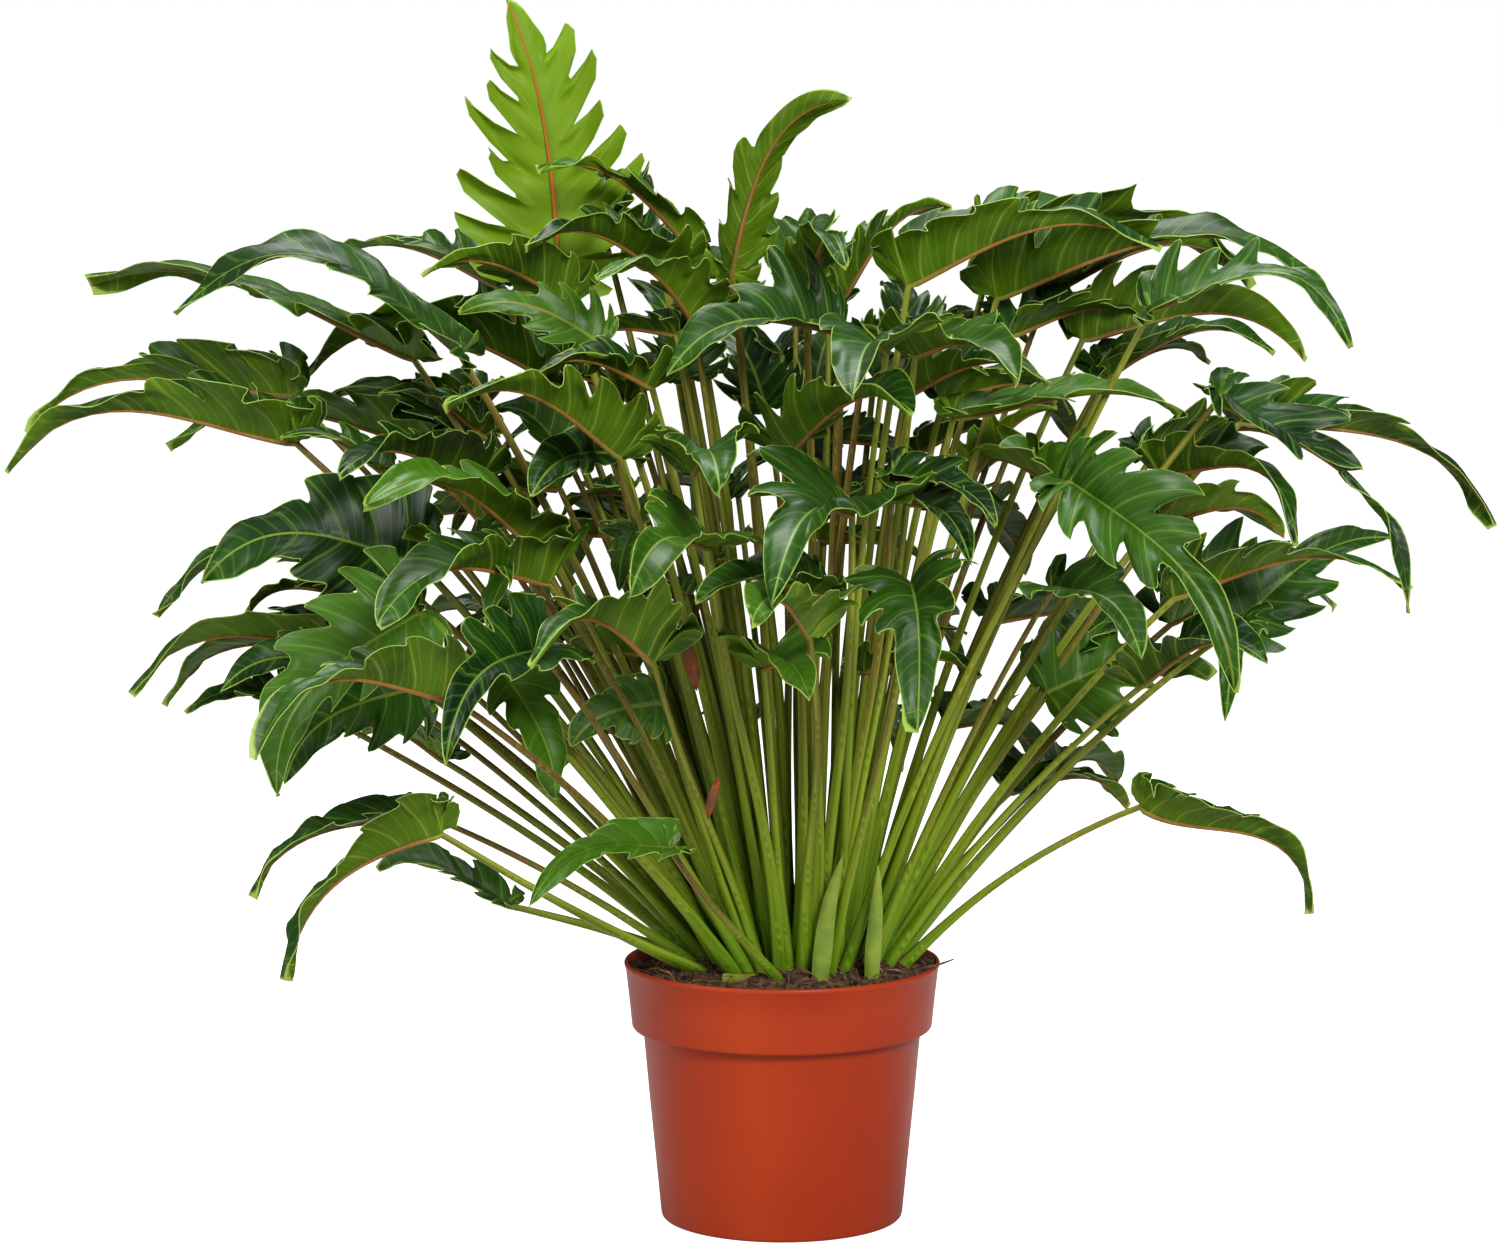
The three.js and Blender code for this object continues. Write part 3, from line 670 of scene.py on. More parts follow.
@dataclass(frozen=True)
class PetioleFinish:
    """Finish of a petiole and of the rib it becomes: green at the foot, tan or reddish near the blade."""

    name: str = "petiole"
    foot: tuple = paint(98, 142, 18)
    middle: tuple = paint(124, 146, 24)
    top: tuple = paint(132, 134, 44)
    rib: tuple = paint(142, 96, 48)
    young_rib: tuple = paint(176, 98, 38)
    # pale and deep colour the stripes along the petiole: partly its own streaks, partly a painted highlight
    # (pale) and painted shade (deep)
    pale: tuple = paint(160, 176, 66)
    deep: tuple = paint(52, 82, 8)
    red: tuple = paint(106, 64, 36)

    def build(self) -> bpy.types.Material:
        """Builds the material, which reads how far up the leaf a point lies and how red the leaf is.

        Returns:
            The material.
        """
        bench = NodeBench(self.name)
        rise, around = bench.uv("rise")
        blush = bench.attribute("blush")
        colour = bench.mix(bench.ramp(rise, 0.0, 0.35), self.foot, self.middle)
        colour = bench.mix(bench.ramp(rise, 0.3, 0.95), colour, self.top)
        reddish = bench.math("MULTIPLY", bench.ramp(rise, 0.1, 0.8), blush)
        colour = bench.mix(reddish, colour, self.red)
        # Pale and dark stripes along the petiole: partly its own pale streaks, partly a painted highlight
        # along one side and painted shade along another
        phase = bench.math("MULTIPLY", blush, 9.0)
        wave = bench.math("SINE", bench.math("ADD", bench.math("MULTIPLY", around, math.pi * 3), phase))
        colour = bench.mix(bench.math("MULTIPLY", bench.ramp(wave, 0.3, 1.0), 0.4), colour, self.pale)
        dark = bench.math("SUBTRACT", 1.0, bench.ramp(wave, -1.0, -0.2))
        colour = bench.mix(bench.math("MULTIPLY", dark, 0.45), colour, self.deep)
        rib = bench.mix(bench.ramp(bench.attribute("tone"), 0.5, 1.0), self.rib, self.young_rib)
        colour = bench.mix(bench.ramp(rise, 1.0, 1.15), colour, rib)
        streaks = bench.noise(60.0, 3.0, (6.0, 6.0, 0.6))
        mottled = bench.mix(
            bench.math("MULTIPLY", bench.ramp(streaks, 0.45, 0.75), 0.35), colour, self.middle
        )
        return bench.finish(
            Base_Color=mottled,
            Roughness=0.4,
            Specular_IOR_Level=0.2,
            Normal=bench.bump(streaks, 0.0004, 0.4),
        )


@dataclass(frozen=True)
class PlainFinish:
    """Finish with two mixed colours and a grain."""

    name: str
    first: tuple
    second: tuple
    roughness: float
    scale: float
    relief: float

    def build(self) -> bpy.types.Material:
        """Builds the material.

        Returns:
            The material.
        """
        bench = NodeBench(self.name)
        grain = bench.noise(self.scale, 5.0)
        colour = bench.mix(bench.ramp(grain, 0.35, 0.65), self.first, self.second)
        return bench.finish(
            Base_Color=colour,
            Roughness=self.roughness,
            Normal=bench.bump(grain, self.relief, 1.0),
        )


@dataclass(frozen=True)
class PotFinish:
    """Satin terracotta-orange plastic with faint waves and handling marks."""

    name: str = "pot_plastic"
    body: tuple = paint(176, 58, 17)
    worn: tuple = paint(162, 47, 9)

    def build(self) -> bpy.types.Material:
        """Builds the material.

        Returns:
            The material.
        """
        bench = NodeBench(self.name)
        waves = bench.noise(9.0, 2.0, (1.0, 1.0, 0.5))
        scuffs = bench.noise(160.0, 4.0, (1.0, 1.0, 0.25))
        colour = bench.mix(bench.ramp(waves, 0.35, 0.7), self.body, self.worn)
        roughness = bench.math("ADD", bench.math("MULTIPLY", scuffs, 0.16), 0.3)
        height = bench.math("ADD", bench.math("MULTIPLY", scuffs, 0.03), waves)
        return bench.finish(
            Base_Color=colour,
            Roughness=roughness,
            Specular_IOR_Level=0.25,
            Normal=bench.bump(height, 0.0012, 0.35),
        )


@dataclass(frozen=True)
class LeafFinishes:
    """The materials that all leaves share."""

    upper: bpy.types.Material
    under: bpy.types.Material
    edge: bpy.types.Material
    petiole: bpy.types.Material

    @classmethod
    def build(cls) -> "LeafFinishes":
        """Builds the four materials.

        Returns:
            The materials.
        """
        margin = paint(150, 178, 74)
        upper = BladeFinish(
            name="leaf_upper",
            deep=paint(9, 36, 8),
            light=paint(28, 66, 9),
            young=paint(84, 132, 18),
            vein=paint(92, 134, 44),
            midrib=paint(106, 142, 46),
            young_midrib=paint(180, 176, 60),
            margin=margin,
            roughness=0.4,
            vein_share=0.62,
            vein_relief=-0.7,
            shine=0.24,
        )
        # Underside: paler, yellower olive than the upper face, partly its own colour and partly painted light
        # that shines through the thin blade
        under = BladeFinish(
            name="leaf_under",
            deep=paint(38, 68, 2),
            light=paint(70, 104, 6),
            young=paint(108, 144, 14),
            vein=paint(132, 154, 44),
            midrib=paint(160, 106, 52),
            young_midrib=paint(182, 96, 36),
            margin=margin,
            roughness=0.5,
            vein_share=0.7,
            vein_relief=1.0,
            shine=0.18,
        )
        edge = PlainFinish("leaf_edge", margin, paint(150, 180, 84), 0.5, 80.0, 0.0001)
        return cls(upper.build(), under.build(), edge.build(), PetioleFinish().build())


@dataclass(frozen=True)
class BladeForm:
    """Flat half outline of a blade, in blade lengths: its side lobes, then the long end lobe."""

    feet: tuple = (0.0, 0.0, 0.06, 0.19, 0.34, 0.50)
    angles: tuple = (101, 86, 73, 61, 51, 44)
    reaches: tuple = (0.24, 0.31, 0.35, 0.335, 0.275, 0.205)
    sweep_degrees: float = 7.0
    first_station: float = -0.5
    end_lobe_station: float = 4.5
    last_station: float = 6.2
    last_vein: int = 6
    throat_angle: float = 24.0
    throat_cut: float = 0.66

    def margin(self, station: float, growth: "HalfGrowth") -> tuple[float, float, float]:
        """Margin point that a rib reaches.

        Args:
            station: place along the half outline, with side lobe tips at whole numbers.
            growth: the half's own lobe lengths and notch depths.

        Returns:
            The rib's foot on the midrib, and the margin point ahead of the foot and beside it.
        """
        if station > self.end_lobe_station:
            share = (station - self.end_lobe_station) / (self.last_station - self.end_lobe_station)
            foot, ahead, beside = self.margin(self.end_lobe_station, growth)
            end_foot = foot + (1 - foot) * share**1.3
            point_ahead = foot + ahead + (1 - foot - ahead) * share**0.95
            ripple = 1 + growth.end_ripple * math.sin(share * 9 + growth.end_phase) * (1 - share)
            point_beside = beside * (1 - share) ** 0.75 * (1 + growth.end_bulge * share) * ripple
            return end_foot, point_ahead - end_foot, point_beside
        foot = knot_curve(self.feet, station)
        angle = knot_curve(self.angles, station) + 2 * self.throat_angle * max(-station, 0.0)
        angle -= self.sweep_degrees * math.cos(2 * math.pi * station)
        reach = knot_curve(self.reaches, station) * knot_curve(growth.lobes, station)
        valley = abs(math.sin(math.pi * station)) ** growth.notch_narrowness
        depth = self.throat_cut if station < 0 else growth.notches[int(station)]
        reach *= 1 - depth * valley
        return foot, reach * math.cos(math.radians(angle)), reach * math.sin(math.radians(angle))


YOUNG_FORM = BladeForm(
    feet=(0.0, 0.0, 0.04, 0.13, 0.24, 0.36, 0.49, 0.62, 0.74),
    angles=(128, 92, 68, 56, 50, 46, 42, 36, 30),
    reaches=(0.2, 0.27, 0.33, 0.36, 0.36, 0.34, 0.3, 0.25, 0.2),
    sweep_degrees=5.0,
    end_lobe_station=7.5,
    last_station=8.6,
    last_vein=8,
)


@dataclass(frozen=True)
class HalfGrowth:
    """How one half of a blade has grown."""

    lobes: tuple
    notches: tuple
    notch_narrowness: float
    droops: tuple
    curl: float
    end_bulge: float
    end_ripple: float
    end_phase: float

    @classmethod
    def by_chance(cls, chance: random.Random, cut: float) -> "HalfGrowth":
        """Draws one half.

        Args:
            chance: the leaf's own chances.
            cut: usual depth of a notch against the lobe.

        Returns:
            The half.
        """
        spread = (0.35, 0.8, 1.1, 1.5) if cut < 0.45 else (0.9, 1.0, 1.1)
        notches = [cut * chance.choice(spread) for _ in range(10)]
        notches[0] *= 0.4 if cut < 0.45 else 1.0
        return cls(
            lobes=tuple(chance.uniform(0.8, 1.16) for _ in range(9)),
            notches=tuple(notches),
            notch_narrowness=chance.uniform(1.8, 4.5),
            droops=tuple(chance.uniform(-0.4, 1.3) for _ in range(12)),
            curl=math.radians(chance.uniform(16, 44)),
            end_bulge=chance.uniform(0.6, 1.1),
            end_ripple=chance.uniform(0.04, 0.12),
            end_phase=chance.uniform(0, 6.28),
        )


@dataclass
class Leaf:
    """One leaf: a petiole that rises from the crown and a lobed, folded blade."""

    name: str
    place: LeafPlace
    tone: Tone
    finishes: LeafFinishes
    node: str | None = None
    form: BladeForm = field(default_factory=BladeForm)
    cut: float = USUAL_CUT
    columns: int = 67
    rows: int = 14
    sheet: float = 0.5 * MM
    foot_radius: float = 5.4 * MM
    stalk_radius: float = 3.2 * MM
    top_radius: float = 2.0 * MM
    flatness: float = 0.2
    petiole_sides: int = 12
    petiole_steps: int = 14
    rib_steps: int = 16
    planted: float = 9 * MM
    sway: float = 7 * MM
    snake: float = 4 * MM
    handle_share: float = 0.36
    rib_end: float = 0.97
    twist_degrees: float = 14.0
    droop_share: float = 0.26
    wave_share: float = 0.07
    frill_share: float = 0.05
    quilt_share: float = 0.012
    spike_limit: float = 1.5

    def __post_init__(self) -> None:
        """Works out the leaf's frame and the small chances of growth."""
        p = self.place
        self.chance = random.Random(self.name)
        self.junction = seen_at(p.junction_x, p.junction_z, p.junction_depth)
        self.tip = seen_at(p.tip_x, p.tip_z, p.tip_depth)
        chord = self.tip - self.junction
        self.length = chord.length
        self.chord = chord.normalized()
        self.level = self.unrolled_face()
        side = self.chord.cross(self.level)
        sign = -1 if side.y > 0.2 else 1
        roll = math.radians(p.roll)
        self.face = self.level * math.cos(roll) + side * sign * math.sin(roll)
        self.halves = {side: HalfGrowth.by_chance(self.chance, self.cut) for side in (1, -1)}
        self.twist = math.radians(self.chance.uniform(-self.twist_degrees, self.twist_degrees))
        self.noise_seed = Vector((self.chance.uniform(0, 50), self.chance.uniform(0, 50), 0))
        self.blush = self.chance.choice((0.0, 0.05, 0.2, 0.45, 0.8, 1.0))

    def unrolled_face(self) -> Vector:
        """Upper face with no roll: up where the blade lies level, inward where it stands.

        Returns:
            The direction that the upper face looks in.
        """
        c = self.chord
        outward = Vector((c.x, c.y, 0.0))
        outward.x += 0.15 * math.copysign(1, self.junction.x - CROWN.x)
        outward.normalize()
        level = Vector((0.0, 0.0, math.sqrt(max(1 - c.z * c.z, 0.0)))) - outward * c.z
        return (level - c * level.dot(c)).normalized()

    def foot(self) -> Vector:
        """Foot of the petiole on the peat: the more a leaf leans out, the further out it stands.

        Returns:
            The foot.
        """
        run = self.junction - CROWN
        lean = math.hypot(run.x, run.y) / run.z
        reach = CROWN_SPREAD * lean / (lean + HALF_LEAN)
        bearing = math.atan2(run.y, run.x) + math.radians(self.place.turn)
        return CROWN + Vector((reach * math.cos(bearing), reach * math.sin(bearing), 0.0))

    def midrib(self, u: float) -> Vector:
        """Point of the midrib.

        Args:
            u: share from junction to tip.

        Returns:
            The point.
        """
        p = self.place
        rise = (p.arch * 4 * u * (1 - u) + p.hook * 6.75 * u * u * (1 - u)) / 100
        return self.junction + self.chord * self.length * u + self.level * self.length * rise

    def rib_frame(self, u: float) -> tuple[Vector, Vector, Vector]:
        """Directions at a place of the midrib.

        Args:
            u: share from junction to tip.

        Returns:
            The directions ahead, beside and up.
        """
        ahead = (self.midrib(min(u + 0.02, 1.0)) - self.midrib(max(u - 0.02, 0.0))).normalized()
        beside = ahead.cross(self.face).normalized()
        up = beside.cross(ahead)
        turn = self.twist * u
        return (
            ahead,
            beside * math.cos(turn) + up * math.sin(turn),
            up * math.cos(turn) - beside * math.sin(turn),
        )

    def surface(self, station: float, share: float, side: int) -> Vector:
        """Point of the blade.

        Args:
            station: place along the half outline.
            share: 0 at the midrib and 1 at the margin.
            side: 1 or -1, the half.

        Returns:
            The point in metres.
        """
        half = self.halves[side]
        foot, forward, lateral = self.form.margin(station, half)
        forward *= self.length
        lateral *= self.length * self.place.width / 100
        ahead, beside, up = self.rib_frame(foot)
        share = max(share, 1e-6)
        curl = half.curl
        fold = (math.radians(self.place.fold) + curl / 2) * (1 - 0.65 * foot)
        out = (math.sin(fold) - math.sin(fold - curl * share)) / curl
        rise = (math.cos(fold - curl * share) - math.cos(fold)) / curl
        lobe = math.cos(2 * math.pi * station)
        droop = knot_curve(half.droops, station + 1) * share**2.2
        wave = noise.noise(self.noise_seed + Vector((station * 0.45, share * side * 0.8, 0.0)))
        lift = -self.droop_share * lateral * droop * (0.6 + 0.4 * lobe)
        lift += self.wave_share * self.length * wave * share
        lift -= self.quilt_share * self.length * share * (1 - share) * lobe
        frill = noise.noise(self.noise_seed + Vector((station * 1.9, share * side * 2.4, 7.0)))
        lift += self.frill_share * self.length * frill * share * share
        slope = fold - curl * share
        away = up * math.cos(slope) - beside * side * math.sin(slope)
        point = self.midrib(foot) + ahead * forward * share**1.25
        return point + beside * side * lateral * out * share**-0.08 + up * lateral * rise + away * lift

    def blade(self, bm: bmesh.types.BMesh) -> None:
        """Adds the blade: upper face, underside and rim, with their distance maps.

        Args:
            bm: the leaf's mesh.
        """
        form = self.form
        span = form.last_station - form.first_station

        def shares_of(first: float, second: float) -> tuple[float, float, int]:
            """Station, share and side of a grid place."""
            return form.first_station + span * (first + 1) / 2, abs(second), -1 if second > 0 else 1

        shares = mapped_grid(bm, self.columns, self.rows, lambda a, b: self.surface(*shares_of(a, b)))
        veins = bm.loops.layers.uv["veins"]
        edge = bm.loops.layers.uv["edge"]
        faces = {face for vert in shares for face in vert.link_faces}
        known = {}
        for vert, (first, second) in shares.items():
            station, share, side = shares_of(first, second)
            main = min(max(round(station), 0), form.last_vein)
            vein_point = self.surface(main, share, side)
            _, forward, lateral = form.margin(station, self.halves[side])
            reach = math.hypot(forward, lateral) * self.length
            known[vert] = (
                (vert.co - vein_point).length / MM,
                abs(lateral) * self.length * share / MM / (1.1 - 0.75 * min(station / 6, 1)),
                reach * (1 - share) / MM,
                station,
            )
        for face in faces:
            for loop in face.loops:
                vein, midrib, margin, station = known[loop.vert]
                loop[veins].uv = (vein, midrib)
                loop[edge].uv = (margin, station)
        bmesh.ops.remove_doubles(bm, verts=list(shares), dist=0.02 * MM)
        top = list(bm.faces)
        bmesh.ops.recalc_face_normals(bm, faces=top)
        if sum(face.normal.dot(self.face) * face.calc_area() for face in top) < 0:
            bmesh.ops.reverse_faces(bm, faces=top)
        count = len(top)
        source = bm.verts.layers.int.new("source")
        upper = list(bm.verts)
        for i, vert in enumerate(upper):
            vert[source] = i
        bmesh.ops.solidify(bm, geom=top, thickness=self.sheet)
        # where the sheet folds sharply the lower face would shoot out
        for vert in list(bm.verts)[len(upper) :]:
            away = vert.co - upper[vert[source]].co
            if away.length > self.spike_limit * self.sheet:
                vert.co = upper[vert[source]].co + away.normalized() * self.spike_limit * self.sheet
        bm.faces.ensure_lookup_table()
        for face in bm.faces[count : 2 * count]:
            face.material_index = 1
        for face in bm.faces[2 * count :]:
            face.material_index = 2

    def stalk(self, bm: bmesh.types.BMesh) -> None:
        """Adds the petiole, which runs on under the blade as its rib.

        Args:
            bm: the leaf's mesh.
        """
        foot = self.foot()
        run = self.junction - foot
        length = run.length
        flat = Vector((run.x, run.y, 0.0)).normalized()
        slope = math.asin(run.z / length)
        bow = math.radians(self.place.bow)
        start = flat * math.cos(slope + bow) + Vector((0, 0, math.sin(slope + bow)))
        end = flat * math.cos(slope - bow) + Vector((0, 0, math.sin(slope - bow)))
        first = foot + start * length * self.handle_share
        second = self.junction - end * length * self.handle_share
        points = [foot - start * (self.planted / start.z)]
        beside = Vector((-flat.y, flat.x, 0.0))
        sway = self.chance.uniform(-self.sway, self.sway)
        snake = self.chance.uniform(-self.snake, self.snake)
        radii = [self.foot_radius * 1.1]
        rises = [0.0]
        for i in range(self.petiole_steps):
            t = i / self.petiole_steps
            point = foot * (1 - t) ** 3 + first * 3 * t * (1 - t) ** 2
            point += second * 3 * t * t * (1 - t) + self.junction * t**3
            shift = sway * math.sin(math.pi * t) + snake * math.sin(2 * math.pi * t)
            points.append(point + beside * shift)
            slim = self.stalk_radius + (self.top_radius - self.stalk_radius) * t
            radii.append(slim + (self.foot_radius - self.stalk_radius) * (1 - t) ** 5)
            rises.append(t)
        for i in range(self.rib_steps + 1):
            u = self.rib_end * (i / self.rib_steps) ** 1.2
            radius = self.top_radius * (1 - u) ** 0.8 * (0.8 if i else 1.0) + 0.1 * MM
            points.append(self.midrib(u) - self.rib_frame(u)[2] * radius * (0.9 if i else 0.3))
            radii.append(radius)
            rises.append(1.0 + u)
        before = set(bm.verts)
        shares = tube(bm, points, radii, self.petiole_sides)
        turned = self.chance.uniform(0, math.pi)
        for vert, (first, second) in shares.items():
            i = round((first + 1) / 2 * (len(points) - 1))
            flat_share = self.flatness * (1 - rises[i] / 2) if rises[i] < 1 else 0.0
            swell = 1 + flat_share * math.cos(2 * math.pi * second + turned)
            vert.co = points[i] + (vert.co - points[i]) * swell
        rise = bm.loops.layers.uv["rise"]
        wall = [face for face in bm.faces if any(vert not in before for vert in face.verts)]
        last = len(points) - 1
        for face in wall:
            face.material_index = 3
            for loop in face.loops:
                along, around = shares.get(loop.vert, (1.0, 0.0))
                loop[rise].uv = (rises[round((along + 1) / 2 * last)], around)

    def build(self) -> bpy.types.Object:
        """Builds the leaf.

        Returns:
            The piece.
        """
        bm = bmesh.new()
        for layer in ("veins", "edge", "rise"):
            bm.loops.layers.uv.new(layer)
        self.blade(bm)
        self.stalk(bm)
        tone = bm.verts.layers.float.new("tone")
        blush = bm.verts.layers.float.new("blush")
        shade = self.tone.value + self.chance.uniform(-0.06, 0.1)
        for vert in bm.verts:
            vert[tone] = min(max(shade, 0.0), 1.0)
            vert[blush] = self.blush
        f = self.finishes
        nodes = [self.node] if self.node else []
        return finished_piece(
            f"look_{self.name}", bm, (f.upper, f.under, f.edge, f.petiole), "leaf", nodes
        )


@dataclass
class Pot:
    """The nursery pot: tapered body, tall collar, rolled lip and drained floor."""

    height: float = 173 * MM
    rim: float = 105 * MM
    collar_foot: float = 100 * MM
    collar_z: float = 128.5 * MM
    body_top: float = 92.5 * MM
    base: float = 80.7 * MM
    wall: float = 1.6 * MM
    floor: float = 2.0 * MM
    floor_ring: float = 72 * MM
    drains: int = 8
    drain_radius: float = 5 * MM
    drain_circle: float = 62 * MM
    drain_sides: int = 16
    sides: int = 144

    def outline(self) -> list[tuple[float, float]]:
        """Outline of the wall, out and up, then in and down.

        Returns:
            Radius and height of each corner.
        """
        mm = MM
        return [
            (self.floor_ring, 0.0),
            (self.base - 2.6 * mm, 0.0),
            (self.base - 1.4 * mm, 0.3 * mm),
            (self.base - 0.5 * mm, 1.2 * mm),
            (self.base, 3 * mm),
            (self.base + 3.9 * mm, 43 * mm),
            (self.base + 7.8 * mm, 83 * mm),
            (self.body_top - 0.1 * mm, self.collar_z - 2.2 * mm),
            (self.body_top + 0.5 * mm, self.collar_z - 0.6 * mm),
            (self.body_top + 1.4 * mm, self.collar_z),
            (self.collar_foot - 1.8 * mm, self.collar_z),
            (self.collar_foot - 0.7 * mm, self.collar_z + 0.4 * mm),
            (self.collar_foot - 0.15 * mm, self.collar_z + 1.2 * mm),
            (self.collar_foot, self.collar_z + 2.2 * mm),
            (self.collar_foot + 2 * mm, self.collar_z + 22 * mm),
            (self.rim - 0.9 * mm, self.height - 4 * mm),
            (self.rim - 0.4 * mm, self.height - 3.4 * mm),
            (self.rim, self.height - 2.4 * mm),
            (self.rim, self.height - 1.1 * mm),
            (self.rim - 0.5 * mm, self.height - 0.3 * mm),
            (self.rim - 1.2 * mm, self.height),
            (self.rim - 2.0 * mm, self.height - 0.3 * mm),
            (self.rim - 2.6 * mm, self.height - 1.2 * mm),
            (self.collar_foot - self.wall, self.collar_z + self.wall + 1 * mm),
            (self.collar_foot - self.wall - 1.2 * mm, self.collar_z + self.wall),
            (self.body_top - self.wall, self.collar_z - 0.6 * mm),
            (self.base - self.wall, self.floor + 1.6 * mm),
            (self.base - self.wall - 1.6 * mm, self.floor),
            (self.floor_ring, self.floor),
        ]

    def drained_floor(self, bm: bmesh.types.BMesh) -> None:
        """Closes the floor inside its ring, with the drain holes left open.

        Args:
            bm: the pot's mesh.
        """
        rings = [edge for edge in bm.edges if edge.is_boundary]
        holes: dict[float, list[bmesh.types.BMEdge]] = {}
        for z in (0.0, self.floor):
            loops = [edge for edge in rings if abs(edge.verts[0].co.z - z) < 1e-5]
            for k in range(self.drains):
                bearing = 2 * math.pi * k / self.drains
                centre = Vector((math.cos(bearing), math.sin(bearing), 0.0)) * self.drain_circle
                centre.z = z
                circle = bmesh.ops.create_circle(
                    bm,
                    segments=self.drain_sides,
                    radius=self.drain_radius,
                    matrix=Matrix.Translation(centre),
                )
                edges = {edge for vert in circle["verts"] for edge in vert.link_edges}
                holes.setdefault(k, []).extend(edges)
                loops.extend(edges)
            bmesh.ops.triangle_fill(bm, use_beauty=True, use_dissolve=False, edges=loops)
        for edges in holes.values():
            bmesh.ops.bridge_loops(bm, edges=edges)

    def build(self, material: bpy.types.Material) -> bpy.types.Object:
        """Builds the pot.

        Args:
            material: its plastic.

        Returns:
            The piece.
        """
        bm = bmesh.new()
        verts = [bm.verts.new((radius, 0.0, z)) for radius, z in self.outline()]
        edges = [bm.edges.new(pair) for pair in zip(verts, verts[1:])]
        bmesh.ops.spin(
            bm,
            geom=verts + edges,
            cent=(0, 0, 0),
            axis=(0, 0, 1),
            angle=2 * math.pi,
            steps=self.sides,
            use_merge=True,
        )
        bmesh.ops.remove_doubles(bm, verts=bm.verts, dist=1e-6)
        self.drained_floor(bm)
        bmesh.ops.recalc_face_normals(bm, faces=bm.faces)
        return finished_piece("look_pot", bm, [material], "pot", ["pot"], 40.0)


@dataclass
class Peat:
    """The peat: a closed body whose top is rough and a little mounded."""

    edge: float = 101.5 * MM
    top: float = 169.5 * MM
    mound: float = 8.0 * MM
    clod: float = 6.5 * MM
    crumb: float = 4.2 * MM
    grit: float = 2.2 * MM
    fall: float = 2.5 * MM
    bottom: float = 130 * MM
    bottom_share: float = 0.96
    sides: int = 96
    rings: int = 40

    def height_at(self, x: float, y: float) -> float:
        """Height of the rough top.

        Args:
            x: the place's first coordinate, in metres.
            y: its second coordinate, in metres.

        Returns:
            The height in metres.
        """
        radius = math.hypot(x, y)
        fall = smooth_step(0.7, 1.0, radius / self.edge)
        mound = self.mound * math.exp(-((x - 0.02) ** 2 + (y + 0.02) ** 2) / 0.0075)
        clods = self.clod * noise.noise(Vector((x * 38, y * 38, 1.7)))
        crumbs = self.crumb * noise.noise(Vector((x * 120, y * 120, 5.1)))
        grit = self.grit * noise.noise(Vector((x * 330, y * 330, 9.3)))
        return self.top + mound + clods + crumbs + grit - self.fall * fall

    def build(self, material: bpy.types.Material) -> bpy.types.Object:
        """Builds the peat.

        Args:
            material: the peat's own.

        Returns:
            The piece.
        """
        bm = bmesh.new()

        def place(first: float, second: float) -> Vector:
            """Point of the top.

            Args:
                first: bearing, from -1 to 1.
                second: radius, from -1 at the middle to 1 at the edge.

            Returns:
                The point.
            """
            bearing = math.pi * first
            radius = self.edge * (second + 1) / 2
            x, y = radius * math.cos(bearing), radius * math.sin(bearing)
            return Vector((x, y, self.height_at(x, y)))

        mapped_grid(bm, self.sides, self.rings, place)
        bmesh.ops.remove_doubles(bm, verts=bm.verts, dist=1e-6)
        rim = [edge for edge in bm.edges if edge.is_boundary]
        skirt = bmesh.ops.extrude_edge_only(bm, edges=rim)["geom"]
        lower = [item for item in skirt if isinstance(item, bmesh.types.BMVert)]
        for vert in lower:
            vert.co.x *= self.bottom_share
            vert.co.y *= self.bottom_share
            vert.co.z = self.bottom
        bmesh.ops.holes_fill(bm, edges=[e for e in bm.edges if e.is_boundary], sides=0)
        bmesh.ops.recalc_face_normals(bm, faces=bm.faces)
        return finished_piece("look_peat", bm, [material], "soil", ["soil"], 80.0)


@dataclass
class Stick:
    """A round or flattened thing in the peat: a twig, a cut stub or a dry sheath."""

    name: str
    node: str
    slot: str
    points: Sequence[tuple[float, float, float]]
    radii: Sequence[float]
    steps: int = 12
    sides: int = 14
    ridge: float = 0.0
    knots: float = 0.0
    thinness: float = 1.0

    def along(self, t: float) -> tuple[Vector, float]:
        """A place along the stick.

        Args:
            t: share of the length.

        Returns:
            The point and the radius there.
        """
        place = t * (len(self.points) - 1)
        point = Vector([knot_curve([p[k] for p in self.points], place) for k in range(3)]) * MM
        return point, max(knot_curve(self.radii, place), 0.15) * MM

    def build(self, material: bpy.types.Material) -> bpy.types.Object:
        """Builds the stick.

        Args:
            material: what it is made of.

        Returns:
            The piece.
        """
        bm = bmesh.new()
        marks = [self.along(i / self.steps) for i in range(self.steps + 1)]
        points = [point for point, _ in marks]
        chance = random.Random(self.name)
        radii = [radius * (1 + self.knots * chance.uniform(-1, 1)) for _, radius in marks]
        shares = tube(bm, points, radii, self.sides)
        for vert, (first, second) in shares.items():
            i = round((first + 1) / 2 * self.steps)
            away = vert.co - points[i]
            away *= 1 + self.ridge * math.cos(self.sides / 2 * math.pi * second)
            away.y *= self.thinness
            vert.co = points[i] + away
        bmesh.ops.recalc_face_normals(bm, faces=bm.faces)
        return finished_piece(self.name, bm, [material], self.slot, [self.node])


